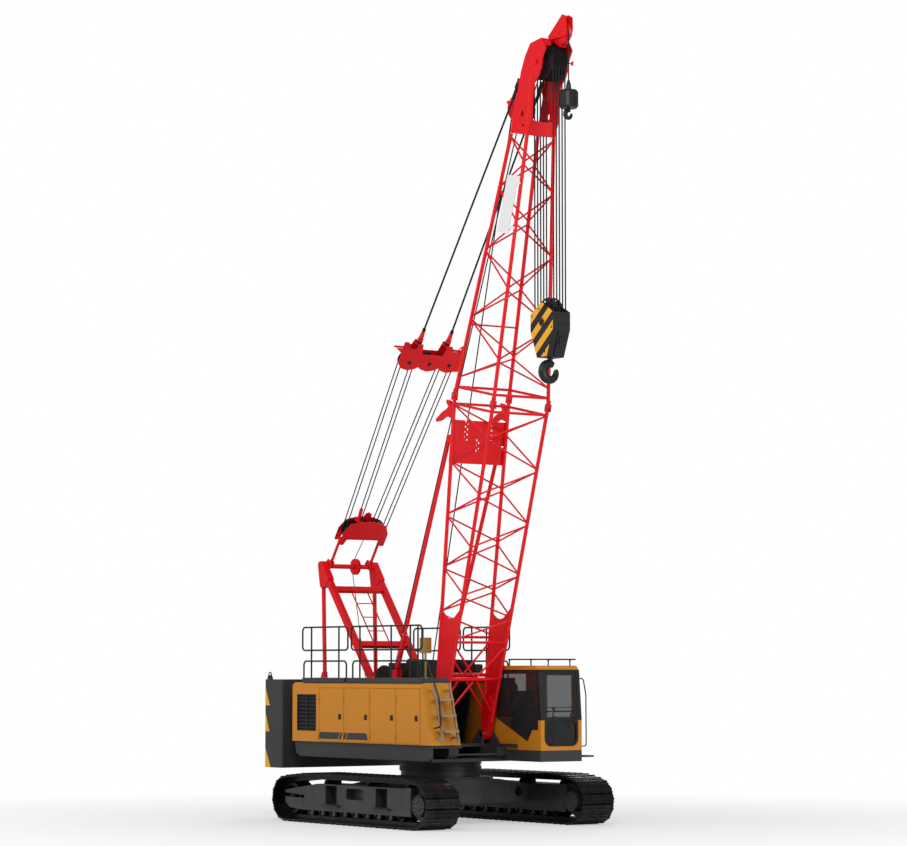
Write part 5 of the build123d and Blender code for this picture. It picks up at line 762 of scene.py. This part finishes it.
def end_of_loop(flat_end):
    """The inside of the shoes at one end of the loop (x, z), from the ground up to where the top run starts."""
    radius, top = wheel_loop - shoe_plate - grouser, track_height - shoe_plate - grouser
    reach, rise_up = wheel_x - flat_end, top - wheel_loop
    tangent = (reach ** 2 + rise_up ** 2 - radius ** 2) ** 0.5
    leave = atan2(rise_up, -reach) - atan2(tangent, radius)
    steps = 160
    bend = [-pi / 2 + (leave + pi / 2) * i / steps for i in range(steps + 1)]
    return [(wheel_x + radius * cos(turn), wheel_loop + radius * sin(turn)) for turn in bend] + [(flat_end, top)]


loop = end_of_loop(1.900) + [(-x, z) for x, z in reversed(end_of_loop(1.450))]
loop.append(loop[0])
lengths = [hypot(b[0] - a[0], b[1] - a[1]) for a, b in zip(loop, loop[1:])]
stations = []
for shoe in range(shoe_count):
    left = sum(lengths) * shoe / shoe_count
    for (a, b), length in zip(zip(loop, loop[1:]), lengths):
        if left <= length:
            stations.append((a[0] + (b[0] - a[0]) * left / length, a[1] + (b[1] - a[1]) * left / length))
            break
        left -= length
track_y, seat_height, ground_run = 1.8, shoe_plate + 0.001, 0.10
for side, node in ((-1, "right"), (1, "left")):
    places = []
    for (ax, az), (bx, bz) in zip(stations, stations[1:] + stations[:1]):
        length = hypot(bx - ax, bz - az)
        way = ((bz - az) / length, 0.0, -(bx - ax) / length)
        if (az + bz) / 2 < ground_run:
            continue
        for share in (0.205, 0.795):
            for across in (-0.165, -0.090, 0.090, 0.165):
                places.append(((ax + (bx - ax) * share + way[0] * seat_height, side * track_y + across,
                                az + (bz - az) * share + way[2] * seat_height), way))
    set_bolts("shoe_bolts_" + node, "undercarriage", "track_steel", places, 0.013, 0.010)

# Ladder treads.  Pressed treads of galvanised sheet lie on the three steps; each is turned down at its
# front edge and has three rows of punched grips.
def stack_of(rings):
    """A closed solid through rings with the same number of points: (vertices, faces)."""
    count = len(rings[0])
    verts = [Vector(point) for ring in rings for point in ring]
    faces = [tuple(range(count)), tuple(range(len(verts) - count, len(verts)))]
    faces += [(a + i, a + (i + 1) % count, a + count + (i + 1) % count, a + count + i)
              for a in range(0, len(verts) - count, count) for i in range(count)]
    return verts, faces


deck_top, hood_top, ladder_lean = 1.540, 2.708, 0.330
tread_low_y, tread_high_y, tread_front, grip_sides, grip_radius = -1.226, -0.894, 0.275, 10, 0.013
treads = []
for z in (1.822, 2.114, 2.414):
    lean_x = 1.700 - ladder_lean / (hood_top - deck_top) * (z - deck_top)
    front = lean_x + tread_front
    treads.append(bar_of((lean_x + 0.050, tread_low_y, z + 0.0005), (front, tread_high_y, z + 0.0035)))
    treads.append(bar_of((front - 0.007, tread_low_y, z - 0.034), (front, tread_high_y, z + 0.0005)))
    for row in (0.095, 0.165, 0.235):
        for k in range(8):
            grip_x, grip_y = lean_x + row, -1.196 + 0.0417 * k
            treads.append(stack_of([[(grip_x + radius * cos(2 * pi * i / grip_sides),
                                      grip_y + radius * sin(2 * pi * i / grip_sides), z + rise_by)
                                     for i in range(grip_sides)]
                                    for radius, rise_by in ((grip_radius, 0.0036), (grip_radius / 2, 0.0075))]))
make_piece("ladder_treads", *join_parts(treads), "galvanised_steel", "upper")

# Walkway grips.  The walkways' steel sheet is pressed with crossed lozenges for grip and painted dark grey; rows
# of them follow the deck and stop short of its edges.
grip_tree, grip_inputs = open_tree("deck_grips", "Places", (("Length", 0.030), ("Height", 0.003), ("Finish", None)),
                                   "Grips")
grip_in = add_node(grip_tree, "NodeGroupInput")
grip_out = add_node(grip_tree, "NodeGroupOutput")
lozenge = add_node(grip_tree, "GeometryNodeMeshCone", {"Vertices": 4, "Radius Top": 0.005})
narrow = add_node(grip_tree, "GeometryNodeTransform", {"Scale": (1.0, 0.34, 1.0)})
grip_spots = add_node(grip_tree, "GeometryNodeMeshToPoints")
turned = add_node(grip_tree, "GeometryNodeInputNamedAttribute", {"Name": "facing"}, data_type="FLOAT_VECTOR")
grip_put = add_node(grip_tree, "GeometryNodeInstanceOnPoints")
grip_solid = add_node(grip_tree, "GeometryNodeRealizeInstances")
grip_coat = add_node(grip_tree, "GeometryNodeSetMaterial")
wire(grip_tree, (
    (grip_in.outputs["Length"], lozenge.inputs["Radius Bottom"]), (grip_in.outputs["Height"], lozenge.inputs["Depth"]),
    (lozenge.outputs["Mesh"], narrow.inputs[0]), (grip_in.outputs["Places"], grip_spots.inputs[0]),
    (grip_spots.outputs[0], grip_put.inputs["Points"]), (narrow.outputs[0], grip_put.inputs["Instance"]),
    (turned.outputs[0], grip_put.inputs["Rotation"]), (grip_put.outputs[0], grip_solid.inputs[0]),
    (grip_solid.outputs[0], grip_coat.inputs["Geometry"]), (grip_in.outputs["Finish"], grip_coat.inputs["Material"]),
    (grip_coat.outputs[0], grip_out.inputs[0])))
deck_low, deck_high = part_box("walkways")
row_pitch, column_pitch, columns, first_column = 0.075, 0.070, 9, 0.76
from_above, down, edge_gap = deck_high.z + 0.2, (0, 0, -1), 0.035
grip_places, grip_turns = [], []
for row in range(int((deck_high.x - deck_low.x) / row_pitch)):
    for side in (-1, 1):
        for column in range(columns):
            x, y = deck_low.x + 0.05 + row_pitch * row, side * (first_column + column_pitch * column)
            hit = touch("walkways", (x, y, from_above), down)
            if hit is None or hit.z <= deck_high.z - 0.002:
                continue
            around = ((x + edge_gap, y), (x - edge_gap, y), (x, y + edge_gap), (x, y - edge_gap))
            if all(touch("walkways", (near_x, near_y, from_above), down) is not None for near_x, near_y in around):
                grip_places.append(tuple(hit))
                grip_turns.append((0.0, 0.0, pi / 4 if (row + column) % 2 else -pi / 4))
grips = grow("walkway_grips", grip_tree, grip_inputs, {"Length": 0.028, "Height": 0.003,
                                                       "Finish": finishes["dark_grey_paint"]},
             grip_places, [], [("facing", grip_turns)])
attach(grips, "upper")

# Sheave pin caps.  A black stepped cap closes the end of each of the three sheave pins on the front plate of the
# upper block.
def round_ring(centre, radius, across, count):
    """A ring of points round a centre, in the plane of one way and the machine's side way."""
    return [centre + across * (radius * cos(2 * pi * i / count)) + Vector((0, radius * sin(2 * pi * i / count), 0))
            for i in range(count)]


front_plate, cap_sides = 0.1124, 20
caps = []
for y in (-0.475, 0.0, 0.475):
    centre = shaft + line_way * upper_reach + line_out * front_plate + Vector((0, y, 0))
    caps.append(stack_of([round_ring(centre + line_out * out, radius, line_way, cap_sides)
                          for radius, out in ((0.040, 0.0), (0.040, 0.010), (0.030, 0.016))]))
make_piece("sheave_pin_caps", *join_parts(caps), "black_paint", "spreader")

# Pendant sleeves.  The lower rope sockets are cast steel in the block's red enamel; a tapered sleeve covers the
# neck of each, above its fork.
sleeve_profile = ((5.285, 0.046), (5.300, 0.050), (5.420, 0.044), (5.560, 0.028), (5.570, 0.022))
sleeves = []
for y in (-0.335, 0.335):
    sleeves.append(stack_of([round_ring(shaft + line_way * reach_up + Vector((0, y, 0)), radius, line_out, 16)
                             for reach_up, radius in sleeve_profile]))
make_piece("pendant_sleeves", *join_parts(sleeves), "red_paint", "spreader")
